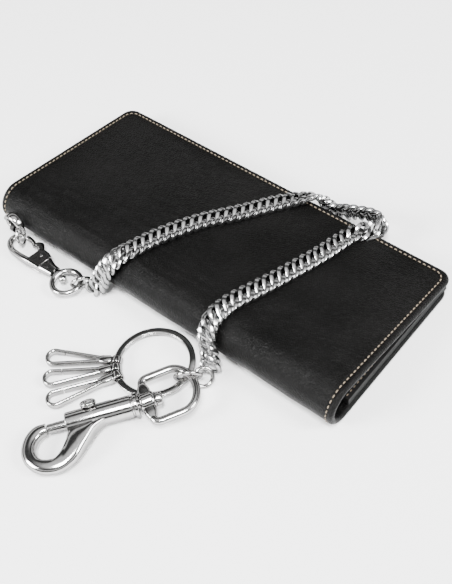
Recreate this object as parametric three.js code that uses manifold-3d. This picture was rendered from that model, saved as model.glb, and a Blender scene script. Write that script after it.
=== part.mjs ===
// A long bifold leather wallet, closed and lying flat, with a double curb chain.
//
// The chain starts at a small trigger clasp on a D-ring at the left end of the
// spine, crosses the cover, turns once behind the free edge, comes back and ends
// at a bolt snap and a key ring in front of the spine.
//
// Millimetres. +X runs along the spine, +Y from the spine to the free edge, +Z up.
// The origin is the centre of the wallet's underside.
import * as THREE from "three";
import { mergeVertices } from "three/addons/utils/BufferGeometryUtils.js";
import Module from "manifold-3d";

const wasm = await Module();
wasm.setup();

const radians = THREE.MathUtils.degToRad;

const GAP = 0.3;

// Wallet leather
const LENGTH = 190;
const SPINE_Y = -35;
const SPINE_RADIUS = 10;
const SPINE_WALL = 2;
const COVER = 1.8;
const COVER_START = 0.8;
const COVER_END = 80.7;
const SLOPE = Math.atan(10.5 / 80);
const LOWER_END = 43;
const CORNER = 6;
const LINING = 1;
const LOWER_LINING = 0.8;
const LINING_INSET = 1;
const LINING_START = 7;
const CARD = 0.7;
const CARD_INSET = 7;
const CARD_PITCH = 1;
const CARD_END = 72;
const CARD_STARTS = [22, 38, 56];

// Coin pocket and its zip
const POCKET_INSET = 7;
const POCKET_NEAR = -24;
const POCKET_FAR = 20;
const POCKET_BOTTOM = 3.2;
const POCKET_TOP = 6.3;
const POCKET_SKIN = 0.8;
const ZIP_Y = -17;
const ZIP_SLOT = 10;
const ZIP_INSET = 11;
const TAPE = 0.7;
const TEETH = 0.8;
const TEETH_SPLIT = 0.6;
const TEETH_BOTTOM = 5;
const TEETH_TOP = 7;
const SLIDER_X = 72;
const SLIDER_LENGTH = 9;
const SLIDER_WIDTH = 7;
const SLIDER_TOP = 8;
const PULL_LENGTH = 10.5;
const PULL_WIDTH = 4.6;

// Ring on the spine and the trigger clasp on it
const D_RING_AT = [-83, -47.5, 6.5];
const D_RING_WIRE = 1.15;
const D_RING_HALF = 4.85;
const D_RING_LEG = 3.2;
const KEEPER_RADIUS = 2.25;
const KEEPER_HOLE = 1.55;
const KEEPER_WIDTH = 2.4;
const KEEPER_SHIFT = -2.5;
const CLASP_AT = [-50.3, -54.3, 3.67];
const CLASP_HEADING = 174.7;
const CLASP_TILT = -0.5;
const CLASP_THICK = 4.6;
const HOOK_AT = 24.8;
const HOOK_HALF = 6.4;
const HOOK_WIRE = 3;
const LEVER_PIVOT = [11.5, -1.6];
const LEVER_THICK = 2.4;
const SWIVEL_RING_AT = -7.9;
const SWIVEL_RING_RADIUS = 6.5;
const SWIVEL_RING_WIRE = 1.3;

// Bolt snap, its swivel eye and the key ring
const SNAP_AT = [30.3, -79.7, 6];
const SNAP_HEADING = 233.8;
const SNAP_TILT = radians(2.35);
const EYE_HEADING = 60;
const EYE_TILT = radians(4.44);
const EYE_HALF = 10.6;
const EYE_STRAIGHT = 12;
const EYE_RISE = 8.4;
const EYE_WIRE = 1.4;
const EYE_BLOCK = [5.4, 14, 3.2];
const RIVET = 1.8;
const BARREL = 4.6;
const BARREL_MOUTH = 33;
const BORE = 2.35;
const BOLT = 1.95;
const BOLT_START = 17.8;
const BOLT_END = 40.9;
const KNOB_AT = 22.8;
const KNOB_ANGLE = 50;
const KNOB_SLOT = 2.2;
const KNOB_STEM = 1;
const KNOB = 3.3;
const BOLT_TRAVEL = 8;
const HOOK_THICK = 5.4;
const SPRING_START = 5.9;
const SPRING_LENGTH = 11.4;
const SPRING_RADIUS = 1.5;
const SPRING_WIRE = 0.3;
const SPRING_TURNS = 6;
const KEY_RING_AT = [18.2, -62.9, 3.1];
const KEY_RING_NORMAL = [-0.035, -0.015, 1];
const KEY_RING_INNER = 14.8;
const KEY_RING_OUTER = 17.4;
const KEY_RING_HEIGHT = 1.8;
const KEY_HOOK_ANGLES = [213, 227, 241];
const COLLAR_OUTER = 2.45;
const COLLAR_INNER = 1.85;
const KEY_HOOK_LIFT = 1.5;
const KEY_HOOK_STRIP = 0.9;
const KEY_HOOK_HEIGHT = 3.2;
const KEY_HOOK_LENGTH = 24.7;
const KEY_HOOK_GATE = 15.4;

// Double curb chain
const CHAIN_RADIUS = 2.4;
const CHAIN_LIFT = 2.9;

const LEATHER = { color: 0x252424, roughness: 0.6, metalness: 0 };
const LINING_CLOTH = { color: 0x1c1b1b, roughness: 0.75, metalness: 0 };
const TAPE_CLOTH = { color: 0x161616, roughness: 0.95, metalness: 0 };
const NICKEL = { color: 0xd4d4d6, roughness: 0.16, metalness: 1 };
const ZIP_METAL = { color: 0xb9b9bc, roughness: 0.3, metalness: 1 };

// Shares the vertices of a geometry and turns its faces outward.
function closed(geometry) {
  const bare = geometry.clone();
  bare.deleteAttribute("normal");
  bare.deleteAttribute("uv");
  const merged = mergeVertices(bare, 1e-4);
  const at = merged.attributes.position.array;
  const faces = [];
  let volume = 0;
  for (let i = 0; i < merged.index.count; i += 3) {
    const [a, b, c] = merged.index.array.slice(i, i + 3);
    if (a === b || b === c || c === a) continue;
    faces.push([a, b, c]);
    const corner = (k) => new THREE.Vector3().fromArray(at, 3 * k);
    volume += corner(a).dot(corner(b).cross(corner(c)));
  }
  const outward = volume < 0 ? faces.map(([a, b, c]) => [a, c, b]) : faces;
  merged.setIndex(outward.flat());
  return merged;
}

function toSolid(geometry) {
  const merged = closed(geometry);
  return new wasm.Manifold(
    new wasm.Mesh({
      numProp: 3,
      vertProperties: merged.attributes.position.array,
      triVerts: new Uint32Array(merged.index.array),
    }),
  );
}

function toGeometry(solid) {
  const mesh = solid.getMesh();
  const geometry = new THREE.BufferGeometry();
  const positions = new Float32Array(mesh.vertProperties);
  geometry.setAttribute("position", new THREE.BufferAttribute(positions, 3));
  geometry.setIndex(Array.from(mesh.triVerts));
  return geometry;
}

function join(...geometries) {
  return toGeometry(geometries.map(toSolid).reduce((all, next) => all.add(next)));
}

function cut(geometry, ...tools) {
  const rest = tools.map(toSolid).reduce((body, tool) => body.subtract(tool), toSolid(geometry));
  return toGeometry(rest);
}

function add(parent, name, geometry, finish) {
  const mesh = new THREE.Mesh(closed(geometry), new THREE.MeshStandardMaterial(finish));
  mesh.geometry.computeVertexNormals();
  mesh.name = name;
  parent.add(mesh);
  return mesh;
}

function box(x0, x1, y0, y1, z0, z1) {
  const geometry = new THREE.BoxGeometry(x1 - x0, y1 - y0, z1 - z0);
  return geometry.translate((x0 + x1) / 2, (y0 + y1) / 2, (z0 + z1) / 2);
}

// A cylinder along X from x0 to x1.
function rod(radius, x0, x1, sides = 16) {
  const geometry = new THREE.CylinderGeometry(radius, radius, x1 - x0, sides);
  return geometry.rotateZ(Math.PI / 2).translate((x0 + x1) / 2, 0, 0);
}

// A profile of (distance along X, radius) pairs turned about X.
function turned(profile, sides = 24) {
  const points = profile.map(([along, radius]) => new THREE.Vector2(radius, along));
  return new THREE.LatheGeometry(points, sides).rotateZ(-Math.PI / 2);
}

// The points of an outline, without those that coincide where two curves meet.
function distinctPoints(path, curveSegments) {
  const points = path.getPoints(curveSegments);
  const before = (i) => points[(i + points.length - 1) % points.length];
  return points.filter((point, i) => point.distanceTo(before(i)) > 0.02);
}

// A flat outline with thickness, centred on its plane, its edges rounded by `round`.
function plate(shape, thickness, round = 0, curveSegments = 6) {
  const outline = new THREE.Shape(distinctPoints(shape, curveSegments));
  outline.holes = shape.holes.map((hole) => new THREE.Path(distinctPoints(hole, curveSegments)));
  const geometry = new THREE.ExtrudeGeometry(outline, {
    depth: thickness - 2 * round,
    bevelEnabled: round > 0,
    bevelThickness: round,
    bevelSize: round,
    bevelOffset: -round,
    bevelSegments: 2,
    curveSegments,
  });
  return geometry.translate(0, 0, round - thickness / 2);
}

// A profile in Y and Z carried along X for the given length, centred on x = 0.
function alongX(shape, length, curveSegments = 10) {
  const geometry = new THREE.ExtrudeGeometry(shape, { depth: length, bevelEnabled: false, curveSegments });
  const axes = new THREE.Matrix4().makeBasis(
    new THREE.Vector3(0, 1, 0),
    new THREE.Vector3(0, 0, 1),
    new THREE.Vector3(1, 0, 0),
  );
  return geometry.applyMatrix4(axes).translate(-length / 2, 0, 0);
}

// A round tube through the given points.
function tube(points, radius, sides, steps) {
  const circle = new THREE.Shape();
  circle.absarc(0, 0, radius, 0, 2 * Math.PI, false);
  const path = new THREE.CatmullRomCurve3(points.map((p) => new THREE.Vector3(...p)), false, "centripetal");
  return new THREE.ExtrudeGeometry(circle, { steps, curveSegments: sides / 2, extrudePath: path });
}

// A thin plate with square near corners and round far ones; its top face is at z = -depth.
function leaf(halfLength, near, far, depth, thickness, corner) {
  const shape = new THREE.Shape();
  shape.moveTo(-halfLength, near);
  shape.lineTo(halfLength, near);
  shape.lineTo(halfLength, far - corner);
  shape.absarc(halfLength - corner, far - corner, corner, 0, Math.PI / 2, false);
  shape.lineTo(corner - halfLength, far);
  shape.absarc(corner - halfLength, far - corner, corner, Math.PI / 2, Math.PI, false);
  return plate(shape, thickness, 0, 5).translate(0, 0, -depth - thickness / 2);
}

// An arch: a straight foot, two legs and a round top, as one closed outline.
function arch(half, foot, leg, rise, corner) {
  const shape = new THREE.Shape();
  shape.moveTo(corner - half, foot);
  shape.lineTo(half - corner, foot);
  shape.absarc(half - corner, foot + corner, corner, -Math.PI / 2, 0, false);
  shape.lineTo(half, leg);
  shape.absellipse(0, leg, half, rise, 0, Math.PI, false);
  shape.lineTo(-half, foot + corner);
  shape.absarc(corner - half, foot + corner, corner, Math.PI, 1.5 * Math.PI, false);
  return shape;
}

// A bent-wire arch whose wire runs along the middle of the band.
function archLoop(half, leg, rise, wire, round, curveSegments) {
  const outline = arch(half + wire, -wire, leg, rise + wire, wire + 1);
  outline.holes.push(arch(half - wire, wire, leg, rise - wire, 0.6));
  return plate(outline, 2 * wire, round, curveSegments);
}

function frame(parent, position, headingDegrees = 0, pitch = 0) {
  const group = new THREE.Group();
  group.position.set(...position);
  group.rotation.set(0, pitch, radians(headingDegrees), "ZYX");
  parent.add(group);
  return group;
}

// Turns a group or mesh so that its +Z points along the given normal.
function faceAlong(object, normal) {
  const direction = new THREE.Vector3(...normal).normalize();
  object.quaternion.setFromUnitVectors(new THREE.Vector3(0, 0, 1), direction);
  return object;
}

function wireRing(parent, name, radius, wire, position, normal, segments = 28) {
  const mesh = add(parent, name, new THREE.TorusGeometry(radius, wire, 8, segments), NICKEL);
  mesh.position.set(...position);
  return faceAlong(mesh, normal);
}

const wallet = new THREE.Group();

// Lower half: cover, spine, lining, coin pocket and zip.
function buildLowerHalf(parent) {
  const half = LENGTH / 2;
  const lower = leaf(half, SPINE_Y + GAP, LOWER_END, -COVER, COVER, CORNER);
  add(parent, "lower_cover", lower, LEATHER);

  const arc = new THREE.Shape();
  const inner = SPINE_RADIUS - SPINE_WALL;
  arc.moveTo(SPINE_Y, 0);
  arc.absarc(SPINE_Y, SPINE_RADIUS, SPINE_RADIUS, 1.5 * Math.PI, 0.5 * Math.PI, true);
  arc.lineTo(SPINE_Y, SPINE_RADIUS + inner);
  arc.absarc(SPINE_Y, SPINE_RADIUS, inner, 0.5 * Math.PI, 1.5 * Math.PI, false);
  add(parent, "spine", alongX(arc, LENGTH, 20), LEATHER);

  const liningTop = COVER + GAP + LOWER_LINING;
  const lining = leaf(
    half - LINING_INSET,
    SPINE_Y + LINING_START,
    LOWER_END - LINING_INSET,
    -liningTop,
    LOWER_LINING,
    CORNER - LINING_INSET,
  );
  add(parent, "lower_panel", lining, LINING_CLOTH);

  const pocketHalf = half - POCKET_INSET;
  const skin = POCKET_SKIN;
  const pocket = cut(
    box(-pocketHalf, pocketHalf, POCKET_NEAR, POCKET_FAR, POCKET_BOTTOM, POCKET_TOP),
    box(
      skin - pocketHalf,
      pocketHalf - skin,
      POCKET_NEAR + skin,
      POCKET_FAR - skin,
      POCKET_BOTTOM + skin,
      POCKET_TOP - skin,
    ),
    box(
      ZIP_INSET - 1 - half,
      half - ZIP_INSET + 1,
      ZIP_Y - ZIP_SLOT / 2,
      ZIP_Y + ZIP_SLOT / 2,
      POCKET_TOP - 2 * skin,
      POCKET_TOP + 1,
    ),
  );
  add(parent, "coin_pocket", pocket, LINING_CLOTH);

  const zipHalf = half - ZIP_INSET;
  const tapeEdge = ZIP_SLOT / 2 - GAP;
  const teethEdge = TEETH_SPLIT + TEETH;
  for (const [name, side] of [["zip_tape_near", -1], ["zip_tape_far", 1]]) {
    const cloth = box(-zipHalf, zipHalf, TEETH_SPLIT, tapeEdge, POCKET_TOP - TAPE, POCKET_TOP);
    const teeth = box(-zipHalf, zipHalf, TEETH_SPLIT, teethEdge, TEETH_BOTTOM, TEETH_TOP);
    const tape = join(cloth, teeth);
    if (side < 0) tape.rotateZ(Math.PI);
    add(parent, name, tape.translate(0, ZIP_Y, 0), TAPE_CLOTH);
  }
}

// Zip slider: two plates round the teeth, held apart by a post between the rows.
function buildZipSlider(parent) {
  const group = frame(parent, [SLIDER_X, ZIP_Y, 0]);
  const x = SLIDER_LENGTH / 2;
  const y = SLIDER_WIDTH / 2;
  const slider = join(
    box(-x, x, -y, y, TEETH_BOTTOM - 0.8, TEETH_BOTTOM - GAP),
    box(x - 3, x, -GAP, GAP, TEETH_BOTTOM - 0.6, TEETH_TOP + 0.6),
    box(-x, x, -y, y, TEETH_TOP + GAP, SLIDER_TOP),
  );
  add(group, "zip_slider", slider, ZIP_METAL);
  const pull = box(-PULL_LENGTH, 0, -PULL_WIDTH / 2, PULL_WIDTH / 2, SLIDER_TOP + GAP, SLIDER_TOP + 1.1);
  const hole = new THREE.CylinderGeometry(1.2, 1.2, 4, 12).rotateX(Math.PI / 2);
  hole.translate(-PULL_LENGTH + 2.4, 0, SLIDER_TOP);
  add(group, "zip_pull", cut(pull, hole), ZIP_METAL);
}

// Upper half: cover, lining and a stepped stack of card strips under it.
function buildUpperHalf(parent) {
  const group = new THREE.Group();
  group.position.set(0, SPINE_Y, 2 * SPINE_RADIUS);
  group.rotation.x = -SLOPE;
  parent.add(group);
  const half = LENGTH / 2;
  add(group, "upper_cover", leaf(half, COVER_START, COVER_END, 0, COVER, CORNER), LEATHER);
  const under = COVER + GAP;
  const lining = leaf(half - LINING_INSET, 6, COVER_END - 1.2, under, LINING, CORNER - 1);
  add(group, "upper_panel", lining, LINING_CLOTH);
  CARD_STARTS.forEach((start, i) => {
    const depth = under + LINING + GAP + i * CARD_PITCH;
    const strip = leaf(half - CARD_INSET, start, CARD_END, depth, CARD, 1);
    add(group, `card_strip_${i + 1}`, strip, LINING_CLOTH);
  });
}

// Height of the cover's outside at a given y.
function coverTop(y) {
  return 2 * SPINE_RADIUS - (y - SPINE_Y) * Math.tan(SLOPE);
}

// D-ring standing against the spine, held by a leather keeper round its bar.
function buildSpineRing(parent) {
  const ring = archLoop(D_RING_HALF, D_RING_LEG, D_RING_HALF, D_RING_WIRE, 0.6, 8);
  ring.rotateX(Math.PI / 2);
  const mesh = add(parent, "d_ring", ring, NICKEL);
  mesh.position.set(...D_RING_AT);
  const keeper = cut(
    rod(KEEPER_RADIUS, 0, KEEPER_WIDTH),
    rod(KEEPER_HOLE, -1, KEEPER_WIDTH + 1),
  );
  const loop = add(parent, "d_ring_keeper", keeper, LEATHER);
  loop.position.set(...D_RING_AT);
  loop.position.x += KEEPER_SHIFT;
}

// Trigger clasp: its hook points along +X of its own frame.
function buildClasp(parent) {
  const group = frame(parent, CLASP_AT, CLASP_HEADING, -radians(CLASP_TILT));

  const outline = new THREE.Shape();
  outline.moveTo(0, -3);
  outline.lineTo(0, 3);
  const back = [[8, 4.4], [17, 6], [HOOK_AT, HOOK_HALF]];
  outline.splineThru(back.map(([x, y]) => new THREE.Vector2(x, y)));
  outline.absellipse(HOOK_AT, 0, 8.65, HOOK_HALF, Math.PI / 2, -Math.PI / 3, true);
  outline.absellipse(HOOK_AT, 0, 5.75, 3.45, -Math.PI / 3, Math.PI, false);
  outline.lineTo(16.2, -2.2);
  outline.lineTo(14.6, -5);
  outline.lineTo(9, -5);
  outline.lineTo(5, -3);
  const slot = new THREE.Shape();
  slot.moveTo(LEVER_PIVOT[0] - 2.8, -9);
  slot.lineTo(LEVER_PIVOT[0] - 2.8, LEVER_PIVOT[1]);
  slot.absarc(...LEVER_PIVOT, 2.8, Math.PI, 0.2 * Math.PI, true);
  slot.lineTo(23, 0.5);
  slot.lineTo(23, -9);
  const pinHole = new THREE.CylinderGeometry(1, 1, 8, 12).rotateX(Math.PI / 2);
  pinHole.translate(...LEVER_PIVOT, 0);
  const body = cut(
    plate(outline, CLASP_THICK),
    plate(slot, LEVER_THICK + 2 * GAP),
    pinHole,
    rod(1.1, -1, 3),
    box(15, 40, -10, 10, HOOK_WIRE / 2, CLASP_THICK),
    box(15, 40, -10, 10, -CLASP_THICK, -HOOK_WIRE / 2),
  );
  add(group, "clasp_body", body, NICKEL);

  const pin = new THREE.CylinderGeometry(0.7, 0.7, CLASP_THICK - 0.4, 12).rotateX(Math.PI / 2);
  add(group, "clasp_pin", pin.translate(...LEVER_PIVOT, 0), NICKEL);

  const arm = new THREE.Shape();
  arm.moveTo(LEVER_PIVOT[0], LEVER_PIVOT[1] - 2.4);
  arm.lineTo(16, -6.2);
  arm.lineTo(18.4, -7.6);
  arm.lineTo(20.4, -6.4);
  arm.absellipse(HOOK_AT, 0, 8.2, 6.0, 1.32 * Math.PI, 1.61 * Math.PI, false);
  arm.absellipse(HOOK_AT, 0, 6.1, 3.8, 1.61 * Math.PI, 1.15 * Math.PI, true);
  arm.lineTo(LEVER_PIVOT[0] + 2.2, LEVER_PIVOT[1] + 0.6);
  arm.absarc(...LEVER_PIVOT, 2.4, 0.1 * Math.PI, 1.5 * Math.PI, false);
  const lever = cut(plate(arm, LEVER_THICK), pinHole);
  add(group, "clasp_lever", lever, NICKEL);

  const post = join(rod(0.8, -4.4, 2.6, 12), new THREE.SphereGeometry(1.9, 14, 10).translate(-5.3, 0, 0));
  add(group, "clasp_post", post, NICKEL);

  const ring = new THREE.TorusGeometry(SWIVEL_RING_RADIUS, SWIVEL_RING_WIRE, 8, 32);
  const eye = cut(
    join(ring.translate(SWIVEL_RING_AT, 0, 0), box(-3, -GAP, -2.6, 2.6, -1.6, 1.6)),
    rod(1.15, -6, 2, 12),
  );
  add(group, "clasp_swivel_ring", eye, NICKEL);
}

// Outline of the bolt snap's hook in the plane of its barrel.
function snapHookShape() {
  const shape = new THREE.Shape();
  shape.moveTo(18.8, 3.3);
  const back = [[23.8, 6], [27.8, 11.8], [32.3, 16.8], [38.8, 20], [45.8, 18.8], [51, 13.8], [52.2, 7.8]];
  const nose = [[49.8, 1.6], [45.6, -2.1], [41.2, -2.6]];
  shape.splineThru([...back, ...nose].map(([x, y]) => new THREE.Vector2(x, y)));
  shape.lineTo(41.2, 2.4);
  shape.absarc(40.2, 8.7, 6.4, radians(-81), radians(208), false);
  shape.lineTo(BARREL_MOUTH, 3.4);
  shape.lineTo(20, -1);
  return shape;
}

// Swivel eye, with the snap's own frame along its barrel.
function buildSnap(parent) {
  const eyeFrame = frame(parent, SNAP_AT, EYE_HEADING, -EYE_TILT);
  const loop = archLoop(EYE_HALF, EYE_STRAIGHT, EYE_RISE, EYE_WIRE, 0.8, 10);
  loop.rotateZ(-Math.PI / 2);
  const [length, width, height] = EYE_BLOCK;
  const block = box(-length / 2, length / 2, -width / 2, width / 2, -height / 2, height / 2);
  const eye = cut(join(loop, block), rod(RIVET + 0.7, -4, 4));
  add(eyeFrame, "swivel_eye", eye, NICKEL);

  const snap = frame(parent, SNAP_AT, SNAP_HEADING, SNAP_TILT);
  const barrel = turned([
    [3.8, 0],
    [3.8, 5],
    [5.4, 5],
    [5.4, 4.2],
    [6.2, 4.2],
    [6.2, BARREL],
    [BARREL_MOUTH, BARREL],
    [BARREL_MOUTH, 0],
  ]);
  const knobTurn = radians(180 - KNOB_ANGLE) - Math.PI / 2;
  const slot = box(
    KNOB_AT - BOLT_TRAVEL - KNOB_SLOT / 2 - GAP,
    KNOB_AT + KNOB_SLOT / 2 + 0.5,
    -KNOB_SLOT / 2 - 0.1,
    KNOB_SLOT / 2 + 0.1,
    0,
    8,
  ).rotateX(knobTurn);
  const body = cut(
    join(barrel, plate(snapHookShape(), HOOK_THICK, 0, 3)),
    rod(BORE, 5.4, BARREL_MOUTH + 1, 20),
    slot,
    rod(RIVET - 0.4, 3, 6),
  );
  add(snap, "snap_body", body, NICKEL);

  const rivet = join(
    rod(RIVET - 0.8, -3, 5.2),
    rod(RIVET, -3, 3.5),
    turned([[-5.6, 0], [-5.6, 1.6], [-4.7, 2.8], [-3.5, 2.8], [-3.5, 1], [-2.9, 1], [-2.9, 0]]),
  );
  add(snap, "snap_rivet", rivet, NICKEL);

  const boltProfile = [
    [BOLT_START, 0],
    [BOLT_START, BOLT],
    [BOLT_END - 0.4, BOLT],
    [BOLT_END, BOLT - 0.5],
    [BOLT_END, 0],
  ];
  add(snap, "snap_bolt", turned(boltProfile, 16), NICKEL);

  const stemFoot = BOLT + GAP;
  const stem = [[stemFoot, 0], [stemFoot, KNOB_STEM], [5, KNOB_STEM]];
  const disc = [[5, 3], [5.3, KNOB], [6.7, KNOB], [7, 3], [7, 0]];
  const knob = turned([...stem, ...disc], 18);
  knob.rotateY(-Math.PI / 2).translate(KNOB_AT, 0, 0).rotateX(knobTurn);
  add(snap, "snap_knob", knob, NICKEL);

  const steps = SPRING_TURNS * 6;
  const coil = [];
  for (let i = 0; i <= steps; i++) {
    const angle = (i * Math.PI) / 3;
    const along = SPRING_START + (SPRING_LENGTH * i) / steps;
    coil.push([along, SPRING_RADIUS * Math.cos(angle), SPRING_RADIUS * Math.sin(angle)]);
  }
  add(snap, "snap_spring", tube(coil, SPRING_WIRE, 6, SPRING_TURNS * 10), ZIP_METAL);
}

// Flat key ring with three snap hooks on short swivelling collars.
function buildKeyRing(parent) {
  const ringFrame = new THREE.Group();
  ringFrame.position.set(...KEY_RING_AT);
  parent.add(faceAlong(ringFrame, KEY_RING_NORMAL));
  const h = KEY_RING_HEIGHT / 2;
  const section = [
    [-h, KEY_RING_INNER],
    [-h, KEY_RING_OUTER],
    [h, KEY_RING_OUTER],
    [h, KEY_RING_INNER],
    [-h, KEY_RING_INNER],
  ];
  add(ringFrame, "key_ring", turned(section, 48).rotateY(Math.PI / 2), NICKEL);

  const middle = (KEY_RING_INNER + KEY_RING_OUTER) / 2;
  KEY_HOOK_ANGLES.forEach((angle, i) => {
    const spoke = frame(ringFrame, [0, 0, 0], angle);
    const hook = frame(spoke, [middle, 0, 0], 0, -radians(KEY_HOOK_LIFT));
    const sleeve = cut(
      join(rod(COLLAR_OUTER, -1.5, 1.5).rotateZ(Math.PI / 2), box(2, 5.6, -1.4, 1.4, -0.9, 0.9)),
      rod(COLLAR_INNER, -3, 3).rotateZ(Math.PI / 2),
    );
    add(hook, `key_hook_collar_${i + 1}`, sleeve, NICKEL);

    const outer = new THREE.Shape();
    const end = KEY_HOOK_LENGTH;
    outer.moveTo(0, -1.5);
    outer.lineTo(end - 4, -4);
    outer.absarc(end - 4, 0, 4, -Math.PI / 2, Math.PI / 2, false);
    outer.lineTo(0, 1.5);
    const inner = new THREE.Path();
    const inset = KEY_HOOK_STRIP;
    inner.moveTo(inset, -1.5 + inset);
    inner.lineTo(end - 4, -4 + inset);
    inner.absarc(end - 4, 0, 4 - inset, -Math.PI / 2, Math.PI / 2, false);
    inner.lineTo(inset, 1.5 - inset);
    outer.holes.push(inner);
    const gate = box(KEY_HOOK_GATE, KEY_HOOK_GATE + 2 * GAP, -5, -1.2, -4, 4);
    const loop = cut(plate(outer, KEY_HOOK_HEIGHT, 0, 6), gate);
    add(hook, `key_hook_${i + 1}`, loop.translate(5.9, 0, 0), NICKEL);
  });
}

// Rings that join the chain to the clasp, the snap and the key ring.
function buildJoiningRings(parent) {
  wireRing(parent, "link_ring", 4.67, 0.6, [-79.31, -48.59, 5.24], [0.787, 0.601, 0.141]);
  wireRing(parent, "chain_ring", 4.2, 0.85, [-36, -51.7, 5], [-0.793, 0.527, 0.305]);
  wireRing(parent, "jump_ring", 5.2, 0.9, [35.38, -60.83, 5.92], [-0.642, 0.703, 0.306]);
  wireRing(parent, "end_ring", 3.9, 0.9, [39.79, -56.41, 3.91], [-0.691, 0.29, -0.662]);
}

// The chain as plain tubes: up the spine, over the cover and back down the spine.
function buildChain(parent) {
  const onCover = ([x, y]) => [x, y, coverTop(y) + CHAIN_LIFT];
  const leftDrop = [
    [-30.6, -50.2, 3.6],
    [-28.2, -49, 6],
    [-26, -47.9, 11],
    [-23.8, -45.8, 17],
    [-21.4, -41.4, 21.2],
    [-19.6, -36.4, 22.8],
  ];
  const topRun = [
    ...[[-18.6, -33.4], [-15.2, -19.1], [-7.9, -0.9], [1.8, 15.3], [11.3, 32.4]].map(onCover),
    [19.2, 44.6, 12.4],
    [22.5, 48, 10.5],
    [26, 49.8, 6.5],
    [30.5, 50.4, 5.2],
    [35.5, 50.6, 7.2],
    [38.3, 50.2, 9.5],
    [46, 52, 11],
    [52, 52, 12],
    [56.5, 49, 12.6],
    [55, 44, 13.2],
    [51, 39.5, 13.3],
    ...[[48.2, 34], [45.3, 16.3], [41.7, -0.2], [37.9, -15.7], [34.5, -27.7], [33.7, -34]].map(onCover),
  ];
  const rightDrop = [
    [33.4, -37, 22.8],
    [33.2, -41.4, 21.2],
    [34, -46.2, 16.5],
    [35.5, -47.9, 10],
    [37, -49, 6.2],
    [38.2, -50.4, 4.2],
  ];
  add(parent, "chain_left_drop", tube(leftDrop, CHAIN_RADIUS, 10, 7), NICKEL);
  add(parent, "chain_top_run", tube(topRun, CHAIN_RADIUS, 10, 44), NICKEL);
  add(parent, "chain_right_drop", tube(rightDrop, CHAIN_RADIUS, 10, 7), NICKEL);
}

buildLowerHalf(wallet);
buildZipSlider(wallet);
buildUpperHalf(wallet);
buildSpineRing(wallet);
buildClasp(wallet);
buildSnap(wallet);
buildKeyRing(wallet);
buildJoiningRings(wallet);
buildChain(wallet);

export default wallet;
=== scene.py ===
"""A long bifold wallet in black leather with a curb chain, a trigger clasp, a bolt snap and a key ring.

Lengths are worked out in millimetres and put into the meshes in metres. +X runs along the
spine, +Y from the spine to the free edge and +Z up; the origin is under the wallet's centre.
"""

import logging
import math
from dataclasses import dataclass
from enum import Enum
from typing import Callable

import bpy
import numpy as np
from mathutils import Matrix, Vector


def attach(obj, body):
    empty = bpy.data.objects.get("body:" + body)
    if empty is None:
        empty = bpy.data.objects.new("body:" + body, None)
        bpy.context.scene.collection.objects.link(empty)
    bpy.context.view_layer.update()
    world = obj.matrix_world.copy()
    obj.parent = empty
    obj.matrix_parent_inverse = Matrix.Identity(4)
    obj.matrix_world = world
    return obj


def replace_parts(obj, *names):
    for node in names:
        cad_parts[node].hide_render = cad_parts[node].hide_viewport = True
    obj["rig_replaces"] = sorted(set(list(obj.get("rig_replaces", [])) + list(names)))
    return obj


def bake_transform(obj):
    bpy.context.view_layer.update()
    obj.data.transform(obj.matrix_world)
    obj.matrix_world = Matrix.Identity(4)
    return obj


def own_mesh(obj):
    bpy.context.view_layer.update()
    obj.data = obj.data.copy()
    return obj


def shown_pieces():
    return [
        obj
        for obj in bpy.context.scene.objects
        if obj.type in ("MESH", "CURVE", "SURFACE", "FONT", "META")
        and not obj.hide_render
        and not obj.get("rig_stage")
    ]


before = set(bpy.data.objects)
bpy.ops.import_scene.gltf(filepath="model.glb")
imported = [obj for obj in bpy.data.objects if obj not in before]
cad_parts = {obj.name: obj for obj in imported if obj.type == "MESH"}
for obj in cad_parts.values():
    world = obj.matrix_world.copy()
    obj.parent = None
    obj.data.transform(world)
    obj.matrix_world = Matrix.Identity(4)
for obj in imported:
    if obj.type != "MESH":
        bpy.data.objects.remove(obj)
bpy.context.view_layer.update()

LOG = logging.getLogger("wallet")
Array = np.ndarray
Pair = tuple[float, float]
Triple = tuple[float, float, float]
Tree = bpy.types.NodeTree
Socket = bpy.types.NodeSocket
MM = 0.001
PI = math.pi
UP = np.array([0.0, 0.0, 1.0])
NOISE_CELLS = 64
NOISE_SHIFT = (31.3, 17.7)
SPAN_STEPS = 24
AXIS_RADIUS = 1e-4
MIX_SOCKETS = {"VECTOR": (4, 1), "RGBA": (6, 2)}


class Slot(Enum):
    """The record's material slots."""

    LEATHER = "leather"
    LINING = "lining"
    TAPE = "tape"
    ZIP = "zip_metal"
    NICKEL = "nickel"


class Body(Enum):
    """The moving bodies that pieces ride on."""

    LOWER = "lower_half"
    UPPER = "upper_half"
    SPINE_RING = "spine_ring"
    LINK = "link"
    CLASP = "clasp"
    TRIGGER = "trigger"
    CLASP_SWIVEL = "clasp_swivel"
    CHAIN_START = "chain_start"
    CHAIN_END = "chain_end"
    JUMP = "jump"
    EYE = "eye"
    SNAP = "snap"
    BOLT = "bolt"
    KEYS = "keys"


# ---------------------------------------------------------------- numbers and shapes


def unit(vectors: Array) -> Array:
    """Scales each row to length one."""
    return vectors / np.maximum(np.linalg.norm(vectors, axis=-1, keepdims=True), 1e-12)


def smooth(edge0: float, edge1: float, values: Array) -> Array:
    """A smooth step from 0 at edge0 to 1 at edge1."""
    t = np.clip((values - edge0) / (edge1 - edge0), 0, 1)
    return t * t * (3 - 2 * t)


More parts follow.
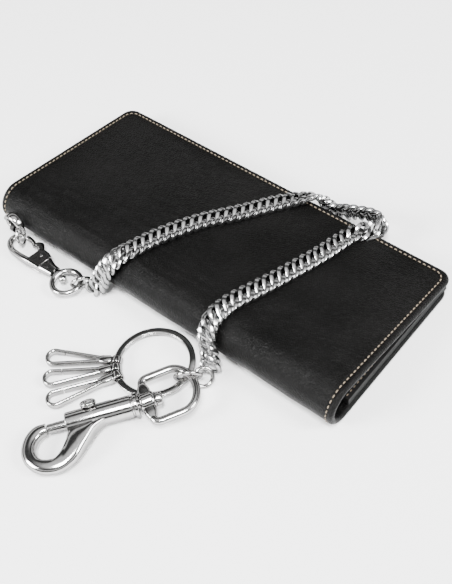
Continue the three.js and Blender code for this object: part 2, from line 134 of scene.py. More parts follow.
def value_noise(x: Array, y: Array, size: float, seed: int) -> Array:
    """Random heights on a square lattice, blended with smooth steps between its corners.

    Args:
        x: first coordinate.
        y: second coordinate.
        size: lattice spacing.
        seed: picks the lattice.
    Returns:
        Values from -1 to 1, one for each coordinate pair.
    """
    lattice = np.random.default_rng(seed).uniform(-1, 1, (NOISE_CELLS, NOISE_CELLS))
    u, v = x / size + NOISE_SHIFT[0], y / size + NOISE_SHIFT[1]
    i, j = np.floor(u).astype(int), np.floor(v).astype(int)
    a, b = u - i, v - j
    a, b = a * a * (3 - 2 * a), b * b * (3 - 2 * b)

    def corner(p: int, q: int) -> Array:
        """The lattice's value at one corner of each point's cell."""
        return lattice[(i + p) % NOISE_CELLS, (j + q) % NOISE_CELLS]

    near = corner(0, 0) * (1 - a) + corner(1, 0) * a
    far = corner(0, 1) * (1 - a) + corner(1, 1) * a
    return near * (1 - b) + far * b


def bell(values: Array, middle: float, width: float) -> Array:
    """A bell curve of height one about the middle."""
    return np.exp(-(((values - middle) / width) ** 2))


def rounded(gap: Array, width: float) -> Array:
    """A quarter circle that rises from 0 at an edge to 1 at the given distance from it."""
    return np.sqrt(np.clip(1 - (1 - np.clip(gap / width, 0, 1)) ** 2, 0, 1))


def travelled(line: Array) -> Array:
    """Distance along a line of points to each of them."""
    return np.concatenate([[0], np.cumsum(np.linalg.norm(np.diff(line, axis=0), axis=1))])


def read_at(line: Array, length: Array, at: Array) -> Array:
    """Points of a line at the given distances along it."""
    return np.stack([np.interp(at, length, line[:, k]) for k in range(line.shape[1])], 1)


def spline(points: Array, count: int) -> Array:
    """A Catmull-Rom curve through the points, read at evenly spaced lengths.

    Each span is the cubic that leaves a point along the chord between its two neighbours.

    Args:
        points: (n, d) control points.
        count: number of points in the result.
    Returns:
        (count, d) points.
    """
    p = np.asarray(points, float)
    spans = len(p) - 1
    t = np.linspace(0, spans, spans * SPAN_STEPS + 1)
    i = np.minimum(t.astype(int), spans - 1)
    f = (t - i)[:, None]
    p0, p1, p2, p3 = (p[np.clip(i + k, 0, spans)] for k in (-1, 0, 1, 2))
    p0 = np.where((i == 0)[:, None], 2 * p[0] - p[1], p0)
    p3 = np.where((i == spans - 1)[:, None], 2 * p[-1] - p[-2], p3)
    squared, cubed = 2 * p0 - 5 * p1 + 4 * p2 - p3, 3 * p1 - p0 - 3 * p2 + p3
    dense = 0.5 * (2 * p1 + (p2 - p0) * f + squared * f**2 + cubed * f**3)
    length = travelled(dense)
    return read_at(dense, length, np.linspace(0, length[-1], count))


def full_turn(count: int) -> Array:
    """Evenly spaced angles round a circle, from zero."""
    return np.arange(count) * 2 * PI / count


def circle(radius: float, count: int) -> Array:
    """Points of a circle in the XY plane."""
    angle = full_turn(count)
    return radius * np.stack([np.cos(angle), np.sin(angle), 0 * angle], 1)


def super_section(count: int, power: float = 2.0) -> Array:
    """Points of a superellipse of half sizes one: a circle at power 2, a soft square above it."""
    c, s = np.cos(full_turn(count)), np.sin(full_turn(count))
    return np.stack([np.sign(c) * np.abs(c) ** (2 / power), np.sign(s) * np.abs(s) ** (2 / power)], 1)


def arc(centre: Pair, rx: float, ry: float, start: float, end: float, count: int) -> Array:
    """Points of an elliptic arc from one angle to another, in degrees."""
    angle = np.radians(np.linspace(start, end, count))
    return np.stack([centre[0] + rx * np.cos(angle), centre[1] + ry * np.sin(angle)], 1)


@dataclass
class Part:
    """One closed shell: points in millimetres, four- and three-sided faces, and a UV pair for each point."""

    points: Array
    quads: Array
    tris: Array
    uv: Array | None = None

    def placed(self, matrix: Array, origin: Array) -> "Part":
        """The part with its local axes along the matrix's columns and its origin moved."""
        points = self.points @ np.asarray(matrix, float).T + np.asarray(origin, float)
        return Part(points, self.quads, self.tris, self.uv)

    def repeated(self, copies: Array) -> "Part":
        """The part's faces once for each copy of its points, as (count, n, 3) points."""
        starts = (np.arange(len(copies)) * len(self.points))[:, None, None]
        quads, tris = (self.quads + starts).reshape(-1, 4), (self.tris + starts).reshape(-1, 3)
        return Part(copies.reshape(-1, 3), quads, tris)

    def outward(self) -> "Part":
        """The part with its faces turned to point out, by the sign of its volume.

        The volume is summed over the tetrahedra that the faces' triangles make with the origin.
        """
        triangles = np.concatenate([self.quads[:, :3], self.quads[:, [0, 2, 3]], self.tris])
        a, b, c = (self.points[triangles[:, k]] for k in range(3))
        if np.einsum("ij,ij->", a, np.cross(b, c)) >= 0:
            return self
        return Part(self.points, self.quads[:, ::-1], self.tris[:, ::-1], self.uv)


def shell(rows: Array, loop: bool = False, caps: bool = True) -> Part:
    """A surface through closed rows of points, one row after another.

    Args:
        rows: (n, m, 3) points; each row closes on itself.
        loop: True joins the last row to the first.
        caps: True closes the first and last rows with a fan about their middles.
    Returns:
        The shell, with u along the rows' order and v round each row.
    """
    n, m = rows.shape[:2]
    i, j = np.meshgrid(np.arange(n if loop else n - 1), np.arange(m), indexing="ij")
    i, j = i.ravel(), j.ravel()
    below, beside = (i + 1) % n, (j + 1) % m
    quads = np.stack([i * m + j, below * m + j, below * m + beside, i * m + beside], 1)
    tris = np.zeros((0, 3), int)
    points = rows.reshape(-1, 3)
    along = travelled(rows.mean(1))
    uv = np.stack([np.repeat(along, m), np.tile(np.arange(m) / m, n)], 1)
    if caps and not loop:
        points = np.concatenate([points, rows[[0, -1]].mean(1)])
        uv = np.concatenate([uv, [[along[0], 0.5], [along[-1], 0.5]]])
        here = np.arange(m)
        beside = (here + 1) % m
        first = np.stack([np.full(m, n * m), here, beside], 1)
        last = np.stack([np.full(m, n * m + 1), (n - 1) * m + beside, (n - 1) * m + here], 1)
        tris = np.concatenate([first, last])
    return Part(points, quads, tris, uv).outward()


def closed_sheet(top: Array, under: Array) -> Part:
    """A thin sheet from the point grids of its two faces, which share the points of their side edges."""
    return shell(np.concatenate([top, under[:, -2:0:-1]], 1))


def tube(path: Array, radius: float | Array, up: Array, section: Array, loop: bool = False,
         flat: float | Array = 1.0) -> Part:
    """A section carried along a path: path + radius * (a * side + flat * b * normal).

    The normal is `up`, one vector or one for each point, with its part along the path taken away, and
    side is square to both.
    """
    tangent = unit(np.roll(path, -1, 0) - np.roll(path, 1, 0)) if loop else unit(np.gradient(path, axis=0))
    normal = unit(up - np.sum(up * tangent, 1, keepdims=True) * tangent)
    side = np.cross(normal, tangent)
    r = np.broadcast_to(radius, len(path))[:, None, None]
    f = np.broadcast_to(flat, len(path))[:, None, None]
    across, rise = section[None, :, :1] * side[:, None], f * section[None, :, 1:] * normal[:, None]
    return shell(path[:, None] + r * (across + rise), loop)


def band(outer: Array, inner: Array, half: float | Array, power: float = 3.0, count: int = 20) -> Part:
    """A bar between two plane outlines, with soft edges.

    Across the bar a point goes from the inner to the outer outline, and up by the half
    thickness, both as a superellipse goes round.

    Args:
        outer: (n, 2) outer outline.
        inner: (n, 2) inner outline, point for point opposite the outer one.
        half: half thickness, one number or one for each station.
        power: roundness of the section; 2 is an ellipse.
        count: points round the section.
    Returns:
        The bar, lying in its local XY plane.
    """
    section = super_section(count, power)
    middle, reach = (outer + inner) / 2, (outer - inner) / 2
    flat = middle[:, None] + reach[:, None] * section[None, :, :1]
    rise = np.broadcast_to(half, len(outer))[:, None, None] * section[None, :, 1:]
    return shell(np.concatenate([flat, rise], 2))


def turned(profile: Array, count: int = 48) -> Part:
    """A profile of (distance along X, radius) rows turned about X; ends on the axis are closed."""
    angle = full_turn(count)
    x, r = profile[:, 0], np.maximum(profile[:, 1], AXIS_RADIUS)
    across = (r[:, None] * np.cos(angle), r[:, None] * np.sin(angle))
    return shell(np.stack([np.repeat(x[:, None], count, 1), *across], 2))


def sleeve_rows(profile: Array, count: int) -> Array:
    """A closed profile of (distance along X, radius) rows carried round X: one row for each angle."""
    angle = full_turn(count)[:, None]
    x, r = profile[None, :, 0], profile[None, :, 1]
    return np.stack([x + 0 * angle, r * np.cos(angle), r * np.sin(angle)], 2)


def softened(profile: list[Pair], radius: float, steps: int = 4) -> Array:
    """A profile with each corner replaced by a short curve that leaves it `radius` away."""
    p = np.array(profile, float)
    rows = [p[:1]]
    t = np.linspace(0, 1, steps + 1)[:, None]
    for before, here, after in zip(p[:-2], p[1:-1], p[2:]):
        reach = min(radius, 0.45 * np.linalg.norm(here - before), 0.45 * np.linalg.norm(after - here))
        a, b = here + reach * unit(before - here), here + reach * unit(after - here)
        rows.append((1 - t) ** 2 * a + 2 * t * (1 - t) * here + t**2 * b)
    rows.append(p[-1:])
    return np.concatenate(rows)


def heading(degrees: float, pitch: float) -> Array:
    """Axes of a frame pitched about Y and then turned about Z, both in degrees."""
    h, p = math.radians(degrees), math.radians(pitch)
    turn = np.array([[math.cos(h), -math.sin(h), 0], [math.sin(h), math.cos(h), 0], [0, 0, 1]])
    tip = np.array([[math.cos(p), 0, math.sin(p)], [0, 1, 0], [-math.sin(p), 0, math.cos(p)]])
    return turn @ tip


def facing(normal: Triple) -> Array:
    """Axes whose Z is the given normal, turned from upright the shortest way."""
    target = Vector(normal).normalized()
    return np.array(Vector((0, 0, 1)).rotation_difference(target).to_matrix())


def stitch_row(line: Array, pitch: float, surface: Callable[[Array, Array, Array], Array]) -> Part:
    """Thread stitches along a line, each a short strand that dips in at both ends.

    A strand has seven stations of six sides; its height is a half sine of the way along it.

    Args:
        line: (n, 2) where the thread runs on the sheet.
        pitch: distance from stitch to stitch.
        surface: gives points in space for sheet coordinates and a height above the sheet.
    Returns:
        Every stitch.
    """
    reach, half_width, flatness, height, dip = 0.33, 0.28, 0.86, 0.34, 0.3
    stations, sides = 7, 6
    length = travelled(line)
    count = int(length[-1] / pitch)
    at = (np.arange(count) + 0.5) * length[-1] / count
    start, stop = (read_at(line, length, at + k * pitch) for k in (-reach, reach))
    f = np.linspace(0, 1, stations)
    flat = start[:, None] * (1 - f)[None, :, None] + stop[:, None] * f[None, :, None]
    along = stop - start
    across = unit(np.stack([-along[:, 1], along[:, 0]], 1))
    section = super_section(sides)
    width = half_width * np.sqrt(np.clip(1 - (2 * f - 1) ** 4, 0.02, 1))
    rise = height * np.sin(PI * f) - dip
    u = flat[:, :, None] + across[:, None, None] * (width[None, :, None, None] * section[None, None, :, :1])
    h = rise[None, :, None] + flatness * width[None, :, None] * section[None, None, :, 1]
    points = surface(u[..., 0], u[..., 1], np.broadcast_to(h, (count, stations, sides)))
    rings, ends = points.reshape(count, -1, 3), points[:, [0, -1]].mean(2)
    return shell(points[0]).repeated(np.concatenate([rings, ends], 1)).outward()


# ---------------------------------------------------------------- node groups and finishes


def group(name: str, inputs: dict[str, float], outputs: list[str]) -> tuple[Tree, dict]:
    """Starts a shader node group with a vector input, float inputs and float outputs."""
    tree = bpy.data.node_groups.new(name, "ShaderNodeTree")
    tree.interface.new_socket("Vector", in_out="INPUT", socket_type="NodeSocketVector")
    for label, default in inputs.items():
        socket = tree.interface.new_socket(label, in_out="INPUT", socket_type="NodeSocketFloat")
        socket.default_value = default
    for label in outputs:
        tree.interface.new_socket(label, in_out="OUTPUT", socket_type="NodeSocketFloat")
    ends = {"in": tree.nodes.new("NodeGroupInput"), "out": tree.nodes.new("NodeGroupOutput")}
    return tree, ends


def maths(tree: Tree, kind: str, a: object, b: object = 0.0) -> Socket:
    """Adds a Math node; each operand is a socket or a number."""
    node = tree.nodes.new("ShaderNodeMath")
    node.operation = kind
    for socket, value in zip(node.inputs, (a, b)):
        if isinstance(value, Socket):
            tree.links.new(value, socket)
        else:
            socket.default_value = value
    return node.outputs[0]


def ramp(tree: Tree, source: Socket, low: float, high: float, a: float, b: float) -> Socket:
    """Maps a value between low and high onto a to b, held at the ends."""
    node = tree.nodes.new("ShaderNodeMapRange")
    for socket, value in zip(node.inputs[1:5], (low, high, a, b)):
        socket.default_value = value
    tree.links.new(source, node.inputs[0])
    return node.outputs[0]


def texture(tree: Tree, kind: str, vector: Socket, scale: float, **settings: object) -> bpy.types.Node:
    """Adds a texture node of the given scale; settings fill its sockets or properties."""
    node = tree.nodes.new(kind)
    node.inputs["Scale"].default_value = scale
    for name, value in settings.items():
        if name in node.inputs:
            node.inputs[name].default_value = value
        else:
            setattr(node, name, value)
    tree.links.new(vector, node.inputs["Vector"])
    return node

def weighted(tree: Tree, *terms: tuple[Socket, float]) -> Socket:
    """Adds up sockets, each times its weight."""
    total, *others = [maths(tree, "MULTIPLY", socket, weight) for socket, weight in terms]
    for term in others:
        total = maths(tree, "ADD", total, term)
    return total


def mix_node(tree: Tree, kind: str) -> tuple[Socket, Socket, Socket, Socket]:
    """Adds a Mix node of one data type, and gives its Factor, A, B and Result sockets."""
    node = tree.nodes.new("ShaderNodeMix")
    node.data_type = kind
    first, result = MIX_SOCKETS[kind]
    return node.inputs["Factor"], node.inputs[first], node.inputs[first + 1], node.outputs[result]
def grain_group() -> Tree:
    """Leather grain: pebbles between fine creases, over slow wrinkles.

    Height is the distance to the nearest pebble edge, squashed to a plateau, plus two noises.
    Worn is a slow patchy mask.
    """
    tree, ends = group("Leather grain", {"Pebbles": 900.0, "Wrinkles": 160.0}, ["Height", "Worn"])
    vector = ends["in"].outputs["Vector"]
    warp = texture(tree, "ShaderNodeTexNoise", vector, 420.0, Detail=2.0)
    factor, plain, warped, bent = mix_node(tree, "VECTOR")
    factor.default_value = 0.0018
    tree.links.new(vector, plain)
    tree.links.new(warp.outputs["Color"], warped)
    cells = texture(tree, "ShaderNodeTexVoronoi", bent, 1.0, feature="DISTANCE_TO_EDGE")
    tree.links.new(ends["in"].outputs["Pebbles"], cells.inputs["Scale"])
    plateau = ramp(tree, cells.outputs["Distance"], 0.0, 0.22, 0.0, 1.0)
    folds = texture(tree, "ShaderNodeTexNoise", vector, 1.0, Detail=4.0, Roughness=0.55, Distortion=0.6)
    tree.links.new(ends["in"].outputs["Wrinkles"], folds.inputs["Scale"])
    pores = texture(tree, "ShaderNodeTexNoise", vector, 3200.0, Detail=1.0)
    height = weighted(tree, (plateau, 0.45), (folds.outputs["Fac"], 1.1), (pores.outputs["Fac"], 0.12))
    tree.links.new(height, ends["out"].inputs["Height"])
    patch = texture(tree, "ShaderNodeTexNoise", vector, 38.0, Detail=3.0)
    tree.links.new(ramp(tree, patch.outputs["Fac"], 0.35, 0.7, 0.0, 1.0), ends["out"].inputs["Worn"])
    return tree


def polish_group() -> Tree:
    """Polished metal: fine rubbing marks, faint waviness and a mask of dull spots."""
    tree, ends = group("Polish marks", {"Marks": 1.0}, ["Height", "Dull"])
    vector = ends["in"].outputs["Vector"]
    stretch = tree.nodes.new("ShaderNodeMapping")
    stretch.inputs["Scale"].default_value = (1.0, 6.0, 1.0)
    tree.links.new(vector, stretch.inputs["Vector"])
    marks = texture(tree, "ShaderNodeTexNoise", stretch.outputs[0], 1500.0, Detail=2.0)
    waves = texture(tree, "ShaderNodeTexNoise", vector, 240.0, Detail=1.0)
    height = maths(tree, "MULTIPLY", marks.outputs["Fac"], ends["in"].outputs["Marks"])
    tree.links.new(maths(tree, "ADD", height, waves.outputs["Fac"]), ends["out"].inputs["Height"])
    spots = texture(tree, "ShaderNodeTexNoise", vector, 620.0, Detail=3.0)
    tree.links.new(ramp(tree, spots.outputs["Fac"], 0.45, 0.8, 0.0, 1.0), ends["out"].inputs["Dull"])
    return tree


def twist_group() -> Tree:
    """Twisted thread: slanted bands across a strand, and loose fibre. Shade mixes painted shade from the
    bands, dark in the twist's grooves, half and half with the fibre's random tone.
    """
    tree, ends = group("Thread twist", {"Twist": 1700.0}, ["Height", "Shade"])
    vector = ends["in"].outputs["Vector"]
    bands = texture(tree, "ShaderNodeTexWave", vector, 1.0, bands_direction="DIAGONAL", Distortion=1.5)
    tree.links.new(ends["in"].outputs["Twist"], bands.inputs["Scale"])
    fibre = texture(tree, "ShaderNodeTexNoise", vector, 5200.0, Detail=2.0)
    tree.links.new(bands.outputs["Fac"], ends["out"].inputs["Height"])
    # painted shade: the bands darken the twist's grooves; the fibre adds random tone
    shade = weighted(tree, (bands.outputs["Fac"], 0.5), (fibre.outputs["Fac"], 0.5))
    tree.links.new(shade, ends["out"].inputs["Shade"])
    return tree


def weave_group() -> Tree:
    """Plain weave: two crossed sets of ribs multiplied together. Their product is both the height and the
    Shade mask, so the colour is painted shade between the ribs and painted light on their crossings.
    """
    tree, ends = group("Tape weave", {"Ribs": 900.0}, ["Height", "Shade"])
    vector = ends["in"].outputs["Vector"]
    ribs = []
    for direction in ("X", "Y"):
        wave = texture(tree, "ShaderNodeTexWave", vector, 1.0, bands_direction=direction)
        tree.links.new(ends["in"].outputs["Ribs"], wave.inputs["Scale"])
        ribs.append(wave.outputs["Fac"])
    cross = maths(tree, "MULTIPLY", *ribs)
    tree.links.new(cross, ends["out"].inputs["Height"])
    # painted shade: the colour follows the weave's relief, dark between the ribs
    tree.links.new(cross, ends["out"].inputs["Shade"])
    return tree


class Groups:
    """The shared node groups, built once."""

    def __init__(self) -> None:
        """Builds every group."""
        self.grain = grain_group()
        self.polish = polish_group()
        self.twist = twist_group()
        self.weave = weave_group()


@dataclass(frozen=True)
class Finish:
    """A surface finish: two colours mixed by a mask, a roughness range and a bump.

    The mask and the height come from one of the shared groups. `base` and `smooth_at` hold where the mask is
    0, `masked` and `rough_at` where it is 1. The outline strength paints shade into the colour where the
    surface turns away from the eye, a painted dark reflection along the silhouette.
    """

    name: str
    group: str
    mask: str
    masked: Triple
    base: Triple
    smooth_at: float
    rough_at: float
    bump: float
    depth: float
    metallic: float = 0.0
    sheen: float = 0.0
    specular: float = 0.5
    outline: float = 0.0
    settings: tuple[tuple[str, float], ...] = ()

    def material(self, groups: Groups) -> bpy.types.Material:
        """Builds the material.

        Args:
            groups: the shared node groups.
        Returns:
            A material on Object coordinates.
        """
        material = bpy.data.materials.new(self.name)
        material.use_nodes = True
        tree = material.node_tree
        shader = tree.nodes["Principled BSDF"]
        where = tree.nodes.new("ShaderNodeTexCoord")
        effect = tree.nodes.new("ShaderNodeGroup")
        effect.node_tree = getattr(groups, self.group)
        tree.links.new(where.outputs["Object"], effect.inputs["Vector"])
        for label, value in self.settings:
            effect.inputs[label].default_value = value
        factor, base, masked, colour = mix_node(tree, "RGBA")
        base.default_value = (*self.base, 1)
        masked.default_value = (*self.masked, 1)
        tree.links.new(effect.outputs[self.mask], factor)
        tree.links.new(self.paint_edge_shade(tree, colour), shader.inputs["Base Color"])
        rough = ramp(tree, effect.outputs[self.mask], 0.0, 1.0, self.smooth_at, self.rough_at)
        tree.links.new(rough, shader.inputs["Roughness"])
        bump = tree.nodes.new("ShaderNodeBump")
        bump.inputs["Strength"].default_value = self.bump
        bump.inputs["Distance"].default_value = self.depth
        tree.links.new(effect.outputs["Height"], bump.inputs["Height"])
        tree.links.new(bump.outputs[0], shader.inputs["Normal"])
        shader.inputs["Metallic"].default_value = self.metallic
        shader.inputs["Sheen Weight"].default_value = self.sheen
        shader.inputs["Specular IOR Level"].default_value = self.specular
        return material

    def paint_edge_shade(self, tree: Tree, colour: Socket) -> Socket:
        """Paints shade into a colour where the surface turns away from the eye, a painted dark reflection
        along the silhouette, by the finish's outline strength.
        """
        if not self.outline:
            return colour
        weight = tree.nodes.new("ShaderNodeLayerWeight")
        weight.inputs["Blend"].default_value = 0.5
        factor, facing_eye, painted_edge_dark, result = mix_node(tree, "RGBA")
        # painted shade: the dark colour the surface takes on where it turns away from the eye
        painted_edge_dark.default_value = (0.035, 0.034, 0.034, 1)
        tree.links.new(ramp(tree, weight.outputs["Facing"], 0.3, 0.75, 0.0, self.outline), factor)
        tree.links.new(colour, facing_eye)
        return result


LEATHER = Finish(
    "Black leather", "grain", "Worn", masked=(0.0036, 0.0035, 0.0034), base=(0.0018, 0.0018, 0.0017),
    smooth_at=0.36, rough_at=0.46, bump=0.55, depth=0.0005, specular=0.075,
)
EDGE = Finish(
    "Leather edge", "grain", "Worn", masked=(0.009, 0.0088, 0.0086), base=(0.005, 0.005, 0.005),
    smooth_at=0.4, rough_at=0.5, bump=0.35, depth=0.0002, specular=0.3,
)
LINING = Finish(
    "Lining leather", "grain", "Worn", masked=(0.006, 0.006, 0.006), base=(0.004, 0.004, 0.004),
    smooth_at=0.55, rough_at=0.66, bump=0.3, depth=0.0002, specular=0.2,
    settings=(("Pebbles", 1500.0), ("Wrinkles", 260.0)),
)
# Both nickel finishes paint a dark reflection along their silhouettes through their outline strength.
NICKEL = Finish(
    "Nickel plate", "polish", "Dull", masked=(0.37, 0.365, 0.36), base=(0.47, 0.465, 0.46),
    smooth_at=0.13, rough_at=0.22, bump=0.06, depth=0.00008, metallic=1.0, outline=0.93,
)
CHAIN_NICKEL = Finish(
    "Chain nickel", "polish", "Dull", masked=(0.36, 0.36, 0.36), base=(0.46, 0.46, 0.46),
    smooth_at=0.18, rough_at=0.28, bump=0.08, depth=0.00008, metallic=1.0, outline=0.95,
)
ZIP_METAL = Finish(
    "Zip metal", "polish", "Dull", masked=(0.5, 0.5, 0.51), base=(0.6, 0.6, 0.61),
    smooth_at=0.25, rough_at=0.38, bump=0.12, depth=0.0001, metallic=1.0,
)
# The thread's colour follows its Shade mask: painted shade in the twist's grooves, with random fibre tone.
THREAD = Finish(
    "Pale thread", "twist", "Shade", masked=(0.24, 0.195, 0.14), base=(0.11, 0.088, 0.062),
    smooth_at=0.6, rough_at=0.8, bump=0.6, depth=0.00012,
)
# The tape's colour follows its Shade mask: painted shade between the weave's ribs.
TAPE = Finish(
    "Zip tape", "weave", "Shade", masked=(0.02, 0.02, 0.02), base=(0.008, 0.008, 0.008),
    smooth_at=0.85, rough_at=0.95, bump=0.7, depth=0.0001, sheen=0.2,
)


class Workshop:
    """Makes finished pieces: a mesh, its material and the body it rides on."""

    def __init__(self) -> None:
        """Builds the groups and every material."""
        groups = Groups()
        finishes = (LEATHER, EDGE, LINING, NICKEL, CHAIN_NICKEL, ZIP_METAL, THREAD, TAPE)
        self.materials = {finish.name: finish.material(groups) for finish in finishes}

    def mesh(self, name: str, parts: list[Part], finish: Finish,
             sharp: float = 50.0) -> bpy.types.Object:
        """Puts shells into one object at the origin.

        Args:
            name: the piece's name.
            parts: closed shells in millimetres.
            finish: its finish.
            sharp: faces that meet above this angle, in degrees, keep a crisp edge.
        Returns:
            The object.
        """
        starts = np.cumsum([0] + [len(part.points) for part in parts])
        points = np.concatenate([part.points for part in parts]) * MM
        quads = np.concatenate([part.quads + start for part, start in zip(parts, starts)])
        tris = np.concatenate([part.tris + start for part, start in zip(parts, starts)])
        data = bpy.data.meshes.new(name)
        data.from_pydata(points.tolist(), [], quads.tolist() + tris.tolist())
        if all(part.uv is not None for part in parts):
            corners = np.zeros(len(data.loops), int)
            data.loops.foreach_get("vertex_index", corners)
            uv = np.concatenate([part.uv for part in parts])[corners]
            data.uv_layers.new(name="Surface").data.foreach_set("uv", uv.astype(np.float32).ravel())
        data.shade_smooth()
        data.set_sharp_from_angle(angle=math.radians(sharp))
        data.materials.append(self.materials[finish.name])
        obj = bpy.data.objects.new(name, data)
        bpy.context.scene.collection.objects.link(obj)
        return obj

    def piece(self, name: str, parts: list[Part], finish: Finish, body: Body | str,
              stands_for: tuple[str, ...] = (), sharp: float = 50.0) -> bpy.types.Object:
        """A piece that rides on one body and may stand for CAD nodes."""
        obj = self.mesh(name, parts, finish, sharp)
        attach(obj, body.value if isinstance(body, Body) else body)
        if stands_for:
            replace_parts(obj, *stands_for)
        LOG.info("%s: %d faces", name, len(obj.data.polygons))
        return obj

    def folding(self, name: str, parts: list[Part], finish: Finish,
                stands_for: tuple[str, ...] = (), sharp: float = 50.0) -> bpy.types.Object:
        """A piece along the wallet's fold, with its transform baked into its mesh; it is attached to no body.
        """
        obj = self.mesh(name, parts, finish, sharp)
        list(Wallet.fold_line())
        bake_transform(obj)
        if stands_for:
            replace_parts(obj, *stands_for)
        LOG.info("%s: %d faces, bends at the spine", name, len(obj.data.polygons))
        return obj


# ---------------------------------------------------------------- the wallet


@dataclass
class Wallet:
    """The leather: one wrap round the spine, in two pieces that meet low on the spine."""

    length: float = 190.0
    spine_y: float = -35.0
    radius: float = 10.0
    lower: float = 78.0
    upper: float = 80.7
    drop: float = 10.5 / 80.0
    corner: float = 6.0
    skin: float = 2.0
    rim: float = 3.0
    stitch_inset: float = 2.9
    stitch_pitch: float = 2.4
    thread_lift: float = 0.1
    seam_angle: float = 45.0
    swells: tuple[tuple[float, float, int], ...] = ((0.22, 26, 3), (0.12, 11, 4), (0.05, 4.5, 6))

    @staticmethod
    def fold_line() -> tuple[Triple, Triple]:
        """Start and end of the bend, square across the spine, in metres."""
        y, z, d = -0.04207, 0.01707, math.sqrt(0.5)
        before, after = 0.010 * d, 0.012 * d
        return (0.0, y - before, z - before), (0.0, y + after, z + after)

    @property
    def arc_end(self) -> float:
        """Distance along the wrap to the top of the spine."""
        return self.lower + PI * self.radius

    @property
    def seam(self) -> float:
        """Distance along the wrap to where its two pieces meet."""
        return self.lower + math.radians(self.seam_angle) * self.radius

    @property
    def end(self) -> float:
        """The whole wrap's length."""
        return self.arc_end + self.upper

    def wrap(self, x: Array, s: Array, depth: Array | float = 0.0) -> Array:
        """The wrap's surface at x and at distance s from the lower free edge, sunk by depth.

        It runs flat to the spine, round a half circle and up again on a slight slope.
        """
        ease = 6.0
        turn = np.clip((s - self.lower) / self.radius, 0, PI)
        slope = math.atan(self.drop)
        rise = np.maximum(s - self.arc_end, 0)
        lean = np.where(s > self.arc_end, slope, 0) * smooth(0, ease, rise)
        y = self.spine_y + np.maximum(self.lower - s, 0) - self.radius * np.sin(turn) + rise * math.cos(slope)
        z = self.radius * (1 - np.cos(turn)) - rise * math.sin(slope)
        ny, nz = -np.sin(turn), -np.cos(turn)
        ny, nz = ny * np.cos(lean) + nz * np.sin(lean), nz * np.cos(lean) - ny * np.sin(lean)
        ny, nz = np.where(s > self.arc_end, np.sin(lean), ny), np.where(s > self.arc_end, np.cos(lean), nz)
        return np.stack([x + 0 * s, y - depth * ny, z - depth * nz], -1)

    def relief(self, x: Array, s: Array) -> Array:
        """Height of the leather's own unevenness: slow swells, creases along the spine and small puckers."""

        def furrows(noise: Array, depth: float, sharpness: float) -> Array:
            """Grooves where the noise passes through zero."""
            return -depth * np.maximum(1 - np.abs(noise) * sharpness, 0) ** 1.5

        swell = sum(height * value_noise(x, s, size, seed) for height, size, seed in self.swells)
        creases = value_noise(x / 9 + 0.6 * value_noise(x, s, 18, 9), s / 1.6, 2.1, 5)
        puckers = value_noise(x / 2.2 + s / 5, s / 7, 2.4, 12)
        near_spine = bell(s - self.arc_end, 3, 17)
        return swell + near_spine * (furrows(creases, 0.42, 2.6) + furrows(puckers, 0.22, 3.0))

    def skin_part(self, near: float, far: float, free: float) -> Part:
        """One leather sheet from the seam to a free edge, with a rolled rim.

        Columns run across the wallet and rows along the wrap. The distance to the nearest
        edge sets how far both faces close up, as a quarter of an ellipse, so they meet there.

        Args:
            near: wrap distance of the seam end.
            far: wrap distance of the free edge.
            free: +1 when the free edge lies past the seam, -1 before it.
        Returns:
            The closed sheet.
        """
        half, span = self.length / 2, abs(far - near)
        fine, step_x, step_s = 8, 1.3, 1.15
        edge = np.array([0, 0.06, 0.25, 0.6, 1.05, 1.5, 2.0, 2.4, 2.7, 2.9, 3.1, 3.4, 3.9, 4.6, 5.6, 6.8])
        across = np.linspace(fine, half, int((half - fine) / step_x))
        columns = np.concatenate([half - edge, half - across])
        columns = np.unique(np.concatenate([columns, -columns]))
        rows = np.concatenate([span - edge, np.linspace(0, span - fine, int((span - fine) / step_s))])
        v, u = np.meshgrid(np.unique(rows), columns, indexing="ij")
        past = np.maximum(v - (span - self.corner), 0)
        reach = half - self.corner + np.sqrt(np.maximum(self.corner**2 - past**2, 0))
        x = u * reach / half
        gap_x, gap_v = half - np.abs(x), span - v
        in_corner = (gap_x < self.corner) & (gap_v < self.corner)
        corner_gap = self.corner - np.hypot(self.corner - gap_x, self.corner - gap_v)
        gap = np.maximum(np.where(in_corner, corner_gap, np.minimum(gap_x, gap_v)), 0)
        thick = self.skin + (self.rim - self.skin) * (1 - smooth(3.5, 7.0, gap))
        closing = rounded(gap, 1.5)
        s = near + free * v
        groove = -0.28 * bell(gap, self.stitch_inset, 0.55) + 0.1 * bell(gap, 1.4, 0.8)
        height = (self.relief(x, s) * smooth(0.5, 6, gap) + groove) * smooth(0, 1.2, gap)
        top = self.wrap(x, s, thick / 2 * (1 - closing) - height)
        return closed_sheet(top, self.wrap(x, s, thick / 2 * (1 + closing)))

    def stitch_line(self, near: float, far: float) -> Array:
        """Where the thread runs: along one end, round the free edge's corners and back along the other."""
        half, span = self.length / 2 - self.stitch_inset, abs(far - near) - self.stitch_inset
        r = self.corner - self.stitch_inset + 1.5
        left = np.stack([np.full(40, -half), np.linspace(0.5, span - r, 40)], 1)
        turn_l = arc((-half + r, span - r), r, r, 180, 90, 14)
        middle = np.stack([np.linspace(-half + r, half - r, 60), np.full(60, span)], 1)
        turn_r = arc((half - r, span - r), r, r, 90, 0, 14)
        right = np.stack([np.full(40, half), np.linspace(span - r, 0.5, 40)], 1)
        return np.concatenate([left, turn_l[1:], middle[1:], turn_r[1:], right[1:]])

    def stitches(self, near: float, far: float, free: float) -> Part:
        """Thread stitches along the sheet's edges, lifted above its surface."""

        def surface(u: Array, v: Array, h: Array) -> Array:
            """Points above the leather."""
            return self.wrap(u, near + free * v, -self.thread_lift - h)

        return stitch_row(self.stitch_line(near, far), self.stitch_pitch, surface)

